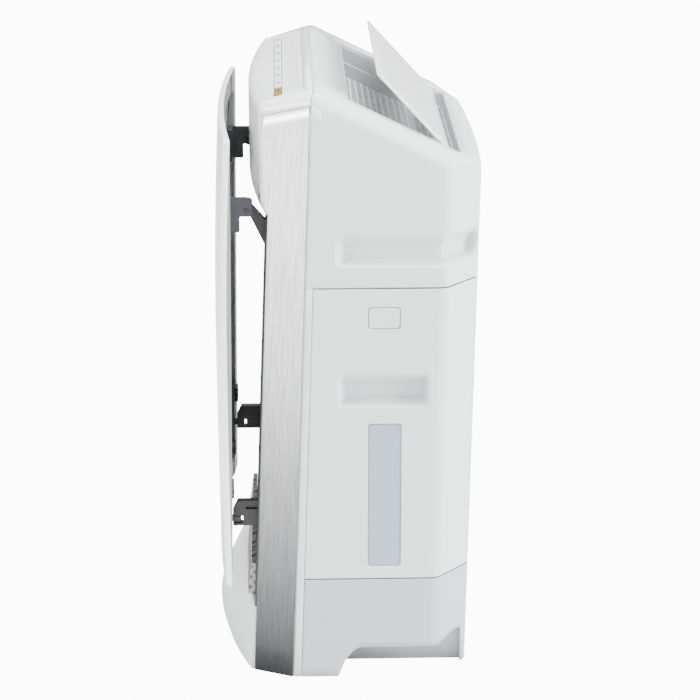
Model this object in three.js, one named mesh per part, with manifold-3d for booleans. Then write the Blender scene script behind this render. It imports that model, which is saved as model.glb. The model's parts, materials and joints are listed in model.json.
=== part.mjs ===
// Free-standing dehumidifying air cleaner with a motor-driven front panel.
// Millimetres, +Z up, front of the machine towards -Y, origin on the floor under the middle.
import * as THREE from 'three';
import { mergeVertices } from 'three/addons/utils/BufferGeometryUtils.js';
import Module from 'manifold-3d';

const wasm = await Module();
wasm.setup();

// ---- driving dimensions ----
const WALL = 2.5; // moulded shell wall
const GAP = 0.3; // between pieces that touch or pass
const SEAM = 0.7; // open joint line between two shells

// Plan of the casing at the floor, right half, mirrored for the left.
const SIDE_X = 197;
const FRONT_CORNER = { x: 176, y: -111 };
const SIDE_FRONT_Y = -66;
const SIDE_REAR_Y = 97;
const REAR_CORNER = { x: 154, y: 136 };
const REAR_BOW = 5;
const LEAN = 0.0345; // backward lean of the side's front edge, mm per mm of height
const LEAN_CHANGE = 0.00009; // how much less it leans for each mm further back

// Side view of the casing's top.
const RIDGE = { y: -37, z: 690 };
const COWL_FRONT_Y = -110.5;
const COWL_BOW = 14;
const COWL_BOTTOM_Z = 545;
const COWL_LIP = 22; // height of the cowl's rounded lower edge
const COWL_SLOPE = 0.25;
const TOP_SLOPE = 0.49; // fall of the top towards the rear
const REAR_TOP_Y = 140;
const TOP_EDGE = { across: 13, down: 14 }; // rounding of the top's side edges

// Levels of the joints between the shells.
const BASE_TOP_Z = 124;
const TANK_TOP_Z = 471;
const TRIM_TOP_FRONT_Z = 661;
const TRIM_TOP_REAR_Z = 675;
const TANK_SEAM_Y = -56.5; // at the floor
const TRIM_GAP = 1.6; // shadow gap behind the trim

// Front panel and its travel.
const PANEL = {
  halfWidth: 190, bottom: 111.5, top: 637, frontY: -152.5, bow: 9.5, depth: 7,
  topBack: 7, bottomBack: 2, wall: 2.5,
};
const PANEL_TRAVEL = 25; // from open to closed
const ARM = { innerX: 152, outerX: 162, bodyY: -92, tailY: -8 };
const EAR = { innerX: 163.5, outerX: 169.5 }; // hinge ears on the panel, outside the arms
const UPPER_PIN = { y: -112.5, z: 553, r: 2.5 };
const UPPER_BRACKET = { bottom: 528, top: 567 };
const LOWER_BRACKET = { bottom: 160, top: 236 };
const UPPER_ARM = { bottom: 511, top: 538 };
const LOWER_ARM = { bottom: 177, top: 207, slotBottom: 180, slotTop: 189 };
const PINION = { y: -25, teeth: 18, module: 1, shaftR: 4 };

// Outlet in the top, with its flap.
const OUTLET = { halfWidth: 150, frontY: 0, rearY: 122, depth: 46 };
const GRILLE = { columns: 22, rows: 16, rib: 2, thickness: 6 };
const FLAP = { hingeY: 103, length: 108, tail: 8, thickness: 3, openDeg: 21.4 };
const FLAP_CLEARANCE = 1.5;

// Tank on the right-hand side.
const HANDLE = { y0: -14, y1: 89, z0: 332, z1: 373, depth: 20, round: 5 };
const WINDOW = { y0: 20, y1: 58, z0: 139, z1: 313, round: 4 };
const LATCH = { y0: 20, y1: 56, z0: 424, z1: 449.5, round: 3 };
const BUCKET = { innerX: 66, wall: 2, bottomZ: 134, topZ: 436 };

// Grips in both sides, bending round the rear chamfer.
const GRIP = { y0: -17, rearX: 158, z0: 494, z1: 533, depth: 13 };

// Control keys.
const KEYS = { count: 8, pitch: 40, firstX: 143, frontY: -82, depth: 11 };

// Foot notches in both sides of the base.
const NOTCH = { innerX: 153, frontY: -15, topY: 8, topZ: 38, rearTopZ: 46 };

// Floor of the base, carried on rubber feet.
const FLOOR = { top: 12 };
const FOOT_LIFT = 1; // clear of the ground beside the feet
const FOOT = { radius: 14, sides: 20 };

// Air path inside.
const FAN = { x: -60, z: 330, radius: 90, width: 66, rearY: 102, blades: 18 };
const ROTOR = { x: -60, z: 330, radius: 96, depth: 22, y: -22 };
const FILTER = { halfWidth: 140, bottomZ: 136, topZ: 528 };

// ---- materials ----
const paint = (color, roughness, metalness = 0, extra = {}) =>
  new THREE.MeshStandardMaterial({ color, roughness, metalness, ...extra });
const WHITE = paint(0xdde3e3, 0.35);
const GLOSS_WHITE = paint(0xe4e7e6, 0.12);
const DARK = paint(0x33363c, 0.5);
const GREY = paint(0x55585e, 0.5);
const DUCT_GREY = paint(0xa8adb0, 0.55);
const SILVER = paint(0xb9bec4, 0.3, 0.9);
const GOLD = paint(0xcdaa46, 0.35, 0.3);
const TINT = paint(0xb8c2ce, 0.2, 0, { transparent: true, opacity: 0.6 });
const STEEL = paint(0x9a9da0, 0.3, 0.9);
const BROWN = paint(0x8f8577, 0.6);
const BLACK = paint(0x1c1c1e, 0.7);
const GREEN = paint(0x2f6b43, 0.5);
const PAPER = paint(0xe8e6de, 0.9);

// ---- solids ----
function solid(geometry) {
  const bare = geometry.clone();
  bare.deleteAttribute('normal');
  bare.deleteAttribute('uv');
  const merged = mergeVertices(bare, 1e-4);
  return new wasm.Manifold(new wasm.Mesh({
    numProp: 3,
    vertProperties: new Float32Array(merged.attributes.position.array),
    triVerts: new Uint32Array(merged.index.array),
  }));
}

const v2 = (x, y) => new THREE.Vector2(x, y);
const extrude = (points, depth, options = {}) =>
  new THREE.ExtrudeGeometry(new THREE.Shape(points), { depth, bevelEnabled: false, ...options });

// Axis swaps that turn a shape drawn in XY and extruded along Z.
const ALONG_X = new THREE.Matrix4().set(0, 0, 1, 0, 1, 0, 0, 0, 0, 1, 0, 0, 0, 0, 0, 1);
const ALONG_Y = new THREE.Matrix4().set(1, 0, 0, 0, 0, 0, -1, 0, 0, 1, 0, 0, 0, 0, 0, 1);

// Prism of a plan outline [x, y], standing between two heights.
function prismZ(points, z0, z1, options) {
  return extrude(points, z1 - z0, options).translate(0, 0, z0);
}
// Prism of a side outline [y, z] between two x.
function prismX(points, x0, x1, options) {
  return extrude(points, x1 - x0, options).applyMatrix4(ALONG_X).translate(x0, 0, 0);
}
// Prism of a front outline [x, z] between two y.
function prismY(points, y0, y1, options) {
  return extrude(points, y1 - y0, options).applyMatrix4(ALONG_Y).translate(0, y1, 0);
}
function block(x0, x1, y0, y1, z0, z1) {
  const box = new THREE.BoxGeometry(x1 - x0, y1 - y0, z1 - z0);
  return solid(box.translate((x0 + x1) / 2, (y0 + y1) / 2, (z0 + z1) / 2));
}
// Round bar along x, y or z between two places on that axis; a and b are the other two coordinates.
function rod(axis, a, b, from, to, radius, sides = 24) {
  const bar = new THREE.CylinderGeometry(radius, radius, to - from, sides);
  const middle = (from + to) / 2;
  if (axis === 'x') bar.rotateZ(Math.PI / 2).translate(middle, a, b);
  if (axis === 'y') bar.translate(a, middle, b);
  if (axis === 'z') bar.rotateX(Math.PI / 2).translate(a, b, middle);
  return solid(bar);
}

const union = (...parts) => parts.flat().reduce((sum, part) => sum.add(part));

// Closed outline with its corners [x, y, setback] rounded off.
function rounded(corners, steps = 3) {
  const count = corners.length;
  return corners.flatMap(([x, y, setback = 0], i) => {
    if (!setback) return [v2(x, y)];
    const corner = v2(x, y);
    const towards = ([px, py]) => v2(px - x, py - y).setLength(setback).add(corner);
    const arc = new THREE.QuadraticBezierCurve(
      towards(corners[(i + count - 1) % count]), corner, towards(corners[(i + 1) % count]));
    return arc.getPoints(steps);
  });
}
const roundedBox = (a0, a1, b0, b1, r, steps) =>
  rounded([[a0, b0, r], [a1, b0, r], [a1, b1, r], [a0, b1, r]], steps);

// Shifts a counter-clockwise outline inwards by a distance.
function inset(points, distance) {
  const count = points.length;
  return points.map((p, i) => {
    const before = p.clone().sub(points[(i + count - 1) % count]).normalize();
    const after = points[(i + 1) % count].clone().sub(p).normalize();
    const n1 = v2(-before.y, before.x);
    const n2 = v2(-after.y, after.x);
    return n1.add(n2).multiplyScalar(distance / (1 + before.dot(after))).add(p);
  });
}

const insetCorners = (corners, distance) => inset(corners.map(([x, y]) => v2(x, y)), distance)
  .map((p, i) => [p.x, p.y, corners[i][2] ?? 0]);

// Parabola between two points whose middle stands out by a depth.
function bow(x0, x1, y, depth, steps) {
  return Array.from({ length: steps + 1 }, (_, i) => {
    const t = (2 * i) / steps - 1;
    return v2((x0 + x1) / 2 + (t * (x1 - x0)) / 2, y + depth * (1 - t * t));
  });
}

// Moves every point of a geometry by a rule (x, y, z) => [x, y, z].
function reshape(geometry, rule) {
  const place = geometry.attributes.position;
  for (let i = 0; i < place.count; i += 1) {
    place.setXYZ(i, ...rule(place.getX(i), place.getY(i), place.getZ(i)));
  }
  return geometry;
}
const leanY = (y, z) => y + z * (LEAN - LEAN_CHANGE * (y - SIDE_FRONT_Y));
const lean = (geometry) => reshape(geometry, (x, y, z) => [x, leanY(y, z), z]);
// Region of the plan, given at the floor and leaning with the casing.
const region = (x0, x1, y0, y1, z0, z1) =>
  solid(lean(prismZ([v2(x0, y0), v2(x1, y0), v2(x1, y1), v2(x0, y1)], z0, z1)));
const mirrorX = (shape) => shape.mirror([1, 0, 0]);
const bothSides = (shape) => shape.add(mirrorX(shape));

const pieces = new THREE.Group();
function piece(name, shape, material) {
  const { vertProperties, triVerts } = shape.getMesh();
  const geometry = new THREE.BufferGeometry();
  geometry.setAttribute('position', new THREE.BufferAttribute(new Float32Array(vertProperties), 3));
  geometry.setIndex(new THREE.BufferAttribute(new Uint32Array(triVerts), 1));
  const mesh = new THREE.Mesh(geometry, material);
  mesh.name = name;
  pieces.add(mesh);
  return mesh;
}

// ---- casing hull ----
const HULL_TOP = RIDGE.z + 30;
const BEYOND_X = SIDE_X + 33; // outside the casing on either side
function casingPlan(wall = 0) {
  const { x: fx, y: fy } = FRONT_CORNER;
  const { x: rx, y: ry } = REAR_CORNER;
  const right = [[fx, fy, 3], [SIDE_X, SIDE_FRONT_Y, 5], [SIDE_X, SIDE_REAR_Y, 9], [rx, ry, 7]];
  const left = right.map(([x, y, r]) => [-x, y, r]).reverse();
  const rear = bow(rx, -rx, ry, REAR_BOW, 8).slice(1, -1).map((p) => [p.x, p.y]);
  return rounded(insetCorners([...right, ...rear, ...left], wall));
}
function cowlPlan(wall = 0) {
  const { x: fx } = FRONT_CORNER;
  const corner = COWL_FRONT_Y + COWL_BOW;
  const rearY = leanY(SIDE_FRONT_Y, RIDGE.z);
  const front = bow(-fx, fx, corner, -COWL_BOW, 12).slice(1, -1).map((p) => [p.x, p.y]);
  return rounded(insetCorners([...front, [fx, corner, 4], [SIDE_X, rearY, 4], [SIDE_X, RIDGE.y + 60],
    [-SIDE_X, RIDGE.y + 60], [-SIDE_X, rearY, 4], [-fx, corner, 4]], wall));
}
// Side outline of the top, kept wide of the hull elsewhere and drawn in by a distance.
function roofOutline(wall, distance) {
  const topAt = (y) => RIDGE.z - (y - RIDGE.y) * TOP_SLOPE;
  const frontY = COWL_FRONT_Y + 2;
  const frontZ = RIDGE.z - 1 + (frontY - RIDGE.y) * COWL_SLOPE;
  const corners = [[-260, -60], [240, -60], [REAR_TOP_Y + 14, topAt(REAR_TOP_Y) - 24, 8],
    [REAR_TOP_Y + 3, topAt(REAR_TOP_Y + 3), 7], [RIDGE.y, RIDGE.z, 4], [frontY, frontZ, 8],
    [frontY - 40, 600], [-260, 500]];
  return rounded(insetCorners(corners, distance), 4).map((p) => v2(p.x, p.y > 400 ? p.y - wall : p.y));
}
function casing(wall) {
  const lower = solid(lean(prismZ(casingPlan(wall), FOOT_LIFT - wall, HULL_TOP)));
  const lipTop = COWL_BOTTOM_Z + COWL_LIP;
  const levels = [COWL_BOTTOM_Z + wall, COWL_BOTTOM_Z + 0.35 * COWL_LIP, lipTop, HULL_TOP];
  const back = [10, 3.5, 0, 0];
  const cowl = prismZ(cowlPlan(wall), 0, levels.length - 1, { steps: levels.length - 1 });
  reshape(cowl, (x, y, z) => {
    const level = Math.round(z);
    const share = THREE.MathUtils.clamp((RIDGE.y - y) / 50, 0, 1);
    return [x, y + back[level] * share, levels[level]];
  });
  const { across, down } = TOP_EDGE;
  const roof = solid(prismX(roofOutline(wall, down), -SIDE_X + across + wall, SIDE_X - across - wall,
    { bevelEnabled: true, bevelThickness: across, bevelSize: down, bevelSegments: 3 }));
  return lower.add(solid(cowl)).intersect(roof);
}

const outer = casing(0);
const inner = casing(WALL);
const ring = outer.subtract(inner);

// Trim face region on the right: from the front corner back to the shadow gap.
function trimRegion(shrink) {
  const back = SIDE_FRONT_Y - shrink;
  const plan = [v2(FRONT_CORNER.x - 1.5 + shrink, -200), v2(SIDE_X + 9, -200), v2(SIDE_X + 9, back),
    v2(FRONT_CORNER.x - 1.5 + shrink, back)];
  const slope = (TRIM_TOP_REAR_Z - TRIM_TOP_FRONT_Z) / 50;
  const topAt = (y) => TRIM_TOP_REAR_Z - shrink + (y - leanY(SIDE_FRONT_Y, TRIM_TOP_REAR_Z)) * slope;
  const side = [v2(-250, -20), v2(60, -20), v2(60, topAt(60)), v2(-250, topAt(-250))];
  return solid(lean(prismZ(plan, -5, HULL_TOP))).intersect(solid(prismX(side, 100, BEYOND_X)));
}
const trimHole = trimRegion(0);
const aheadOf = (y, z0 = -10, z1 = HULL_TOP) => region(-BEYOND_X, BEYOND_X, -300, y, z0, z1);
const behind = (y, z0 = -10, z1 = HULL_TOP) => region(-BEYOND_X, BEYOND_X, y, 300, z0, z1);

// ---- roof openings ----
const topSurface = (y) => RIDGE.z - (y - RIDGE.y) * TOP_SLOPE;
const slopeAngle = Math.atan(TOP_SLOPE);
const outletHole = block(-OUTLET.halfWidth - FLAP_CLEARANCE, OUTLET.halfWidth + FLAP_CLEARANCE,
  OUTLET.frontY, OUTLET.rearY, RIDGE.z - 150, HULL_TOP);

// ---- grips ----
function gripPocket(grow) {
  const { y0, rearX, z0, z1, depth } = GRIP;
  const wallX = SIDE_X - depth - grow;
  const rise = 0.9;
  const face = rounded([[y0 - grow, z0 - grow, 8], [118, z0 - grow, 12],
    [150, z0 + 17 - grow * rise, 6], [150, z1 + grow, 1], [y0 - grow, z1 + grow, 8]], 3);
  const sideCut = solid(prismX(face, wallX, SIDE_X + 20));
  const bend = solid(prismX(face, rearX - grow, SIDE_X + 20));
  const chamfer = solid(lean(prismZ(casingPlan(depth + grow), 400, 600)));
  return sideCut.add(bend).subtract(chamfer);
}

// ---- tank region ----
function tankRegion(shrink) {
  const frontY = TANK_SEAM_Y + shrink;
  const cornerX = REAR_CORNER.x + 2 + shrink;
  const plan = [v2(100, frontY), v2(BEYOND_X, frontY), v2(BEYOND_X, 230), v2(cornerX, 230), v2(cornerX, 100),
    v2(100, 100)];
  return solid(lean(prismZ(plan, BASE_TOP_Z + shrink, TANK_TOP_Z - shrink)));
}

// ---- rear cover region ----
const REAR_COVER = { halfWidth: 138, bottom: 135, top: 560 };
const rearRegion = (shrink) => solid(lean(prismZ([v2(-REAR_COVER.halfWidth + shrink, 110),
  v2(REAR_COVER.halfWidth - shrink, 110), v2(REAR_COVER.halfWidth - shrink, 200),
  v2(-REAR_COVER.halfWidth + shrink, 200)], REAR_COVER.bottom + shrink, REAR_COVER.top - shrink)));

function mainHousing() {
  const grips = bothSides(gripPocket(0));
  const pockets = bothSides(gripPocket(WALL)).intersect(outer);
  return ring.add(pockets)
    .subtract(grips)
    .subtract(outletHole)
    .subtract(aheadOf(SIDE_FRONT_Y + TRIM_GAP, -10, TRIM_TOP_REAR_Z - 2))
    .subtract(aheadOf(SIDE_FRONT_Y + SEAM, TRIM_TOP_REAR_Z - 3))
    .subtract(tankRegion(0))
    .subtract(behind(TANK_SEAM_Y, -10, BASE_TOP_Z))
    .subtract(rearRegion(0));
}

function base() {
  const { innerX, frontY, topY, topZ, rearTopZ } = NOTCH;
  const side = (grow) => rounded([[frontY - grow, -20], [frontY + 2 - grow, 1], [-5 - grow, 22, 4],
    [topY, topZ + grow, 6], [104, topZ + grow, 6], [118, rearTopZ + grow, 5], [131 + grow, rearTopZ + grow, 6],
    [131 + grow, -20]]);
  const cut = bothSides(solid(prismX(side(0), innerX, SIDE_X + 20)));
  const liner = bothSides(solid(prismX(side(WALL), innerX - WALL, SIDE_X - 1)));
  const low = outer.intersect(behind(TANK_SEAM_Y + SEAM, FOOT_LIFT, BASE_TOP_Z - SEAM));
  const hollow = inner.intersect(behind(-90, FLOOR.top, 200)).subtract(liner);
  const underside = inner.intersect(region(-innerX + WALL, innerX - WALL, -300, 300, -5, FLOOR.top - WALL));
  const floor = inner.intersect(region(-150, 150, -98, TANK_SEAM_Y + 5, FLOOR.top - WALL, FLOOR.top));
  return low.subtract(hollow).subtract(underside).add(floor).subtract(cut);
}

piece('main_housing', mainHousing(), WHITE);
piece('base', base(), WHITE);
piece('rear_cover', ring.intersect(rearRegion(SEAM)), WHITE);

const trim = ring.intersect(trimRegion(SEAM));
piece('silver_trim_right', trim, SILVER);
piece('silver_trim_left', mirrorX(trim), SILVER);

// ---- cowl and control surface ----
const CONTROL = { halfWidth: 150, rearHalfWidth: 166, frontY: -92, frontBow: 8, rearY: -49 };
function controlRegion(shrink) {
  const { halfWidth, rearHalfWidth, frontY, frontBow, rearY } = CONTROL;
  const w = halfWidth - shrink;
  const rearW = rearHalfWidth - shrink;
  const front = bow(-w, w, frontY + shrink, -frontBow, 10);
  return solid(prismZ([...front, v2(rearW, rearY - 28), v2(rearW, rearY - shrink), v2(-rearW, rearY - shrink),
    v2(-rearW, rearY - 28)], RIDGE.z - 26, HULL_TOP));
}
function topCowl() {
  const earSlots = bothSides(block(ARM.innerX - 1, EAR.outerX + 1, -130, UPPER_PIN.y + PANEL_TRAVEL + 12,
    500, UPPER_PIN.z + 18));
  return ring
    .intersect(aheadOf(SIDE_FRONT_Y, COWL_BOTTOM_Z - 20))
    .subtract(earSlots)
    .subtract(bothSides(trimHole))
    .subtract(region(-BEYOND_X, BEYOND_X, -300, 300, 400, COWL_BOTTOM_Z))
    .subtract(controlRegion(0));
}
const keyX = (i) => KEYS.firstX - i * KEYS.pitch;
function keyBlock(i, shrink, z0, z1) {
  const { pitch, frontY, depth } = KEYS;
  const half = pitch / 2 - shrink;
  return block(keyX(i) - half, keyX(i) + half, frontY + shrink, frontY + depth - shrink, z0, z1);
}
function controlPlate() {
  const plate = ring.intersect(controlRegion(SEAM / 2));
  return Array.from({ length: KEYS.count }, (_, i) => keyBlock(i, 1.2, RIDGE.z - 90, HULL_TOP))
    .reduce((sum, hole) => sum.subtract(hole), plate);
}
piece('top_cowl', topCowl(), WHITE);
piece('control_plate', controlPlate(), WHITE);
for (let i = 0; i < KEYS.count; i += 1) {
  piece(`key_${i + 1}`, ring.intersect(keyBlock(i, 1.6, RIDGE.z - 90, HULL_TOP)), i === 0 ? GOLD : GLOSS_WHITE);
}
const boardZ = RIDGE.z - 35;
piece('control_board', block(-165, 165, -88, -52, boardZ - 2, boardZ), GREEN);

// ---- front frame, chin and lower intake ----
const CHIN = { top: 80, lipZ: 30, lipY: -152, sideY: -113, backY: -100 };
function frontFrame() {
  const halfW = FRONT_CORNER.x - 2;
  const face = region(-halfW, halfW, -112, -105, CHIN.top + GAP, COWL_BOTTOM_Z - GAP);
  const opening = block(-FILTER.halfWidth, FILTER.halfWidth, -200, 0, CHIN.top + 10, FILTER.topZ + 4);
  const armSlots = bothSides(union(
    block(ARM.innerX - 1, ARM.outerX + 1, -200, 0, LOWER_ARM.bottom - 1.5, LOWER_ARM.top + 1.5),
    block(ARM.innerX - 1, ARM.outerX + 1, -200, 0, UPPER_ARM.bottom - 9, COWL_BOTTOM_Z + 1)));
  return face.subtract(opening).subtract(armSlots);
}
function chinCover() {
  const side = (grow) => rounded([[CHIN.backY + grow, FOOT_LIFT - grow], [-146 + grow, FOOT_LIFT - grow],
    [CHIN.lipY + grow, CHIN.lipZ - 14, 8], [CHIN.lipY + grow, CHIN.lipZ + 4, 9], [-140 + grow, 57, 9],
    [-125 + grow, CHIN.top - 6, 5], [-119 + grow, CHIN.top - grow], [CHIN.backY + grow, CHIN.top - grow]], 2);
  const shell = (grow) => {
    const halfW = FRONT_CORNER.x - 2.5 - grow;
    const raw = prismX(side(grow), -halfW, halfW, { steps: 10 });
    return solid(reshape(raw, (x, y, z) => {
      const reach = 1 - (x / FRONT_CORNER.x) ** 2;
      const least = CHIN.sideY + grow + (z / CHIN.top) * 4;
      const out = Math.min(0, y - least);
      return [x, out < 0 ? least + out * Math.max(reach, 0.02) : y, z];
    }));
  };
  const hollow = shell(WALL).add(block(-150, 150, -114, CHIN.backY + 9, FOOT_LIFT + WALL, CHIN.top - WALL));
  return shell(0).subtract(hollow);
}
const INTAKE = { halfWidth: 140, bottom: 81, top: 120, reach: -118, barPitch: 10 };
function lowerIntake() {
  const { halfWidth, bottom, top, reach, barPitch } = INTAKE;
  const backAt = (z) => leanY(-104.5, z);
  const side = (grow) => [v2(backAt(bottom), bottom + grow), v2(reach + grow, bottom + grow),
    v2(reach + 5 + grow, top - grow), v2(backAt(top), top - grow)];
  const shell = solid(prismX(side(0), -halfWidth, halfWidth));
  const hollow = solid(prismX(side(2), -halfWidth + 2, halfWidth - 2))
    .add(block(-halfWidth + 2, halfWidth - 2, -110, -60, bottom + 2, top - 2));
  const slots = [];
  for (let z = bottom + 4; z < top - barPitch; z += barPitch) {
    for (const [x0, x1] of [[-134, -46], [-42, 42], [46, 134]]) {
      slots.push(block(x0, x1, -140, -108, z, z + barPitch - 4));
    }
  }
  const frameBar = region(-halfWidth - 1, halfWidth + 1, -112 - GAP, -90, CHIN.top, top + 1);
  return shell.subtract(hollow).subtract(union(slots)).subtract(frameBar);
}
piece('front_frame', frontFrame(), DARK);
piece('chin_cover', chinCover(), WHITE);

// ---- outlet: duct, grille, flap ----
function outletDuct() {
  const { halfWidth, frontY, rearY, depth } = OUTLET;
  const side = (grow, up, drop) => {
    const y0 = frontY - grow;
    const y1 = rearY + grow;
    return [v2(y0, topSurface(y0) - drop), v2(y1, topSurface(y1) - drop), v2(y1, topSurface(y1) + up),
      v2(y0, topSurface(y0) + up)];
  };
  const underSkin = -WALL * 1.15 - GAP - 0.4;
  const body = solid(prismX(side(3, underSkin, depth), -halfWidth - 4, halfWidth + 4));
  const bore = solid(prismX(side(1, 20, depth + 20), -halfWidth - 1.5, halfWidth + 1.5));
  return body.subtract(bore);
}
function outletGrille() {
  const { halfWidth, frontY, rearY, depth } = OUTLET;
  const slab = (y0, y1, x0, x1, high, low) => solid(prismX([v2(y0, topSurface(y0) - low),
    v2(y1, topSurface(y1) - low), v2(y1, topSurface(y1) - high), v2(y0, topSurface(y0) - high)], x0, x1));
  const { columns, rows, rib, thickness } = GRILLE;
  const w = halfWidth + 1;
  const plate = slab(frontY - 0.6, rearY + 0.6, -w, w, depth - thickness - 2, depth - 2);
  const cellW = (2 * w - rib * (columns + 1)) / columns;
  const cellD = (rearY - frontY - rib * (rows + 1)) / rows;
  const cells = [];
  for (let i = 0; i < columns; i += 1) {
    for (let j = 0; j < rows; j += 1) {
      const x = -w + rib + i * (cellW + rib);
      const y = frontY + rib + j * (cellD + rib);
      cells.push(slab(y, y + cellD, x, x + cellW, depth - thickness - 5, depth));
    }
  }
  return plate.subtract(union(cells));
}
// The flap is drawn closed, lying in the top slope, and turned open about its hinge.
const HINGE = new THREE.Vector3(0, FLAP.hingeY, topSurface(FLAP.hingeY) - 3);
function aboutHinge(shape, degrees) {
  return shape.translate([0, -HINGE.y, -HINGE.z]).rotate([degrees, 0, 0]).translate([0, HINGE.y, HINGE.z]);
}
function outletFlap() {
  const { length, tail, thickness } = FLAP;
  const w = OUTLET.halfWidth;
  const plate = solid(prismX(rounded([[-length, 0.6, 1], [tail, 0.6, 1], [tail, 0.6 + thickness, 1],
    [-length, 0.6 + thickness, 1]]), -w, w));
  const boss = rod('x', 0, 0, -w, w, 2.6, 12);
  const flat = plate.add(boss).rotate([-THREE.MathUtils.radToDeg(slopeAngle), 0, 0])
    .translate([0, HINGE.y, HINGE.z]);
  return aboutHinge(flat, -FLAP.openDeg);
}
piece('outlet_duct', outletDuct(), DUCT_GREY);
piece('outlet_grille', outletGrille(), DUCT_GREY);
piece('outlet_flap', outletFlap(), WHITE);

// ---- front panel ----
const panelBack = (z) => {
  const middle = (PANEL.bottom + PANEL.top) / 2;
  const t = (z - middle) / (PANEL.top - middle);
  return t > 0 ? PANEL.topBack * t * t : PANEL.bottomBack * t * t;
};
// Closed shape of the panel drawn in by a distance; its back can be moved further back.
function panelSolid(grow, rearShift) {
  const { bottom, top, frontY, depth, halfWidth, bow: panelBow } = PANEL;
  const front = Array.from({ length: 9 }, (_, i) => {
    const z = top - 16 - ((top - 32 - bottom) * i) / 8;
    return [frontY + panelBack(z), z];
  });
  const rearAt = (z) => frontY + panelBack(z) + depth + rearShift;
  const round = grow > 0 ? 0 : 2;
  const corners = [...front, [frontY + PANEL.bottomBack + 3, bottom, round], [rearAt(bottom), bottom],
    [rearAt(top), top], [frontY + PANEL.topBack + 3.5, top, round]];
  const raw = prismX(rounded(insetCorners(corners, grow)), -halfWidth + grow, halfWidth - grow, { steps: 10 });
  return solid(reshape(raw, (x, y, z) => [x, y + panelBow * (x / halfWidth) ** 2, z]));
}
const returnGap = () => block(-ARM.innerX + 2, ARM.innerX - 2, -147, -100, PANEL.bottom - 5, PANEL.bottom + 12);
function frontPanel() {
  return panelSolid(0, 0).subtract(panelSolid(PANEL.wall, 15)).subtract(returnGap());
}
// Dark lining frame pressed into the back of the panel.
function panelFrame() {
  const { halfWidth, bottom, top, wall } = PANEL;
  const filled = panelSolid(wall + GAP, wall + GAP + 0.5);
  const opening = block(-halfWidth + 22, halfWidth - 22, -200, -100, bottom + 26, top - 26);
  const thin = PANEL.frontY + wall + GAP + 3;
  const railSide = [v2(thin + PANEL.bottomBack, 100), v2(-100, 100), v2(-100, 650), v2(thin + PANEL.topBack, 650)];
  const rails = prismX(railSide, -ARM.innerX, ARM.innerX, { steps: 8 });
  const behindRails = solid(reshape(rails, (x, y, z) => [x, y + PANEL.bow * (x / halfWidth) ** 2, z]));
  const bracketSeats = [UPPER_BRACKET, LOWER_BRACKET].flatMap(({ bottom: z0, top: z1 }) =>
    bothSides(block(ARM.innerX - 9, EAR.outerX + GAP, -160, -100, z0 - GAP, z1 + GAP)));
  return filled.subtract(opening).subtract(behindRails).subtract(union(bracketSeats));
}
piece('front_panel', frontPanel(), GLOSS_WHITE);
piece('panel_frame', panelFrame(), GREY);

piece('lower_intake_grille', lowerIntake(), BROWN);

// ---- panel hinges and the arms that carry the panel ----
const panelInside = (x, z) => PANEL.frontY + panelBack(z) + PANEL.wall + PANEL.bow * (x / PANEL.halfWidth) ** 2;
function upperBracket() {
  const { innerX, outerX } = EAR;
  const { bottom, top } = UPPER_BRACKET;
  const start = panelInside(outerX, top) + GAP;
  const { y, z, r } = UPPER_PIN;
  const side = rounded([[start, bottom, 1], [-120, bottom, 2], [-120, z - 7, 2], [y + 6, z - 7, 3],
    [y + 7, top - 2, 3], [y + 1, top, 2], [start, top, 1]]);
  const ear = solid(prismX(side, innerX, outerX));
  const mounting = solid(prismX([v2(start, bottom), v2(-133, bottom), v2(-133, top), v2(start, top)],
    ARM.innerX - 8, outerX));
  return ear.add(mounting).subtract(rod('x', y, z, innerX - 1, outerX + 1, r + GAP / 2));
}
function rackTeeth(phaseY, z, y0, y1) {
  const pitch = Math.PI * PINION.module;
  const points = [];
  const first = Math.ceil((y0 - phaseY) / pitch);
  for (let i = first; phaseY + (i + 0.5) * pitch < y1 - 1; i += 1) {
    const y = phaseY + (i + 0.5) * pitch;
    points.push(v2(y - 0.8, z), v2(y - 0.3, z - 2), v2(y + 0.3, z - 2), v2(y + 0.8, z));
  }
  return points;
}
const RACK_Z = UPPER_ARM.bottom + 1;
function upperArm() {
  const { y, z, r } = UPPER_PIN;
  const teeth = rackTeeth(PINION.y, RACK_Z, PINION.y - PANEL_TRAVEL - 8, ARM.tailY);
  const head = rounded([[y - 4, z + 6, 3], [y - 6, z - 4, 3], [y + 4, z - 8, 2]]);
  const shoulder = rounded([[y + 7, z + 4, 3], [y + 2, z + 7, 2]], 1);
  const side = [...head, v2(ARM.bodyY, RACK_Z - 2), v2(ARM.bodyY + 6, RACK_Z), ...teeth, v2(ARM.tailY, RACK_Z),
    v2(ARM.tailY, UPPER_ARM.top), v2(ARM.bodyY + 2, UPPER_ARM.top), ...shoulder];
  const pinHole = rod('x', y, z, ARM.innerX - 1, ARM.outerX + 1, r + 0.15);
  return solid(prismX(side, ARM.innerX, ARM.outerX)).subtract(pinHole);
}
function lowerArm() {
  const { bottom, top, slotBottom, slotTop } = LOWER_ARM;
  const side = [v2(-133, slotTop + 6), v2(-133, slotTop), v2(-121, slotTop), v2(-121, slotBottom),
    v2(-133, slotBottom), v2(-133, bottom), v2(-70, bottom), v2(-70, top), v2(-127, top)];
  const web = solid(prismX(side, ARM.innerX, ARM.outerX));
  const relief = bothSides(block(ARM.outerX - 3, ARM.outerX + 1, -118, -60, slotTop + 8, top - 3));
  return web.subtract(relief);
}
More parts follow.
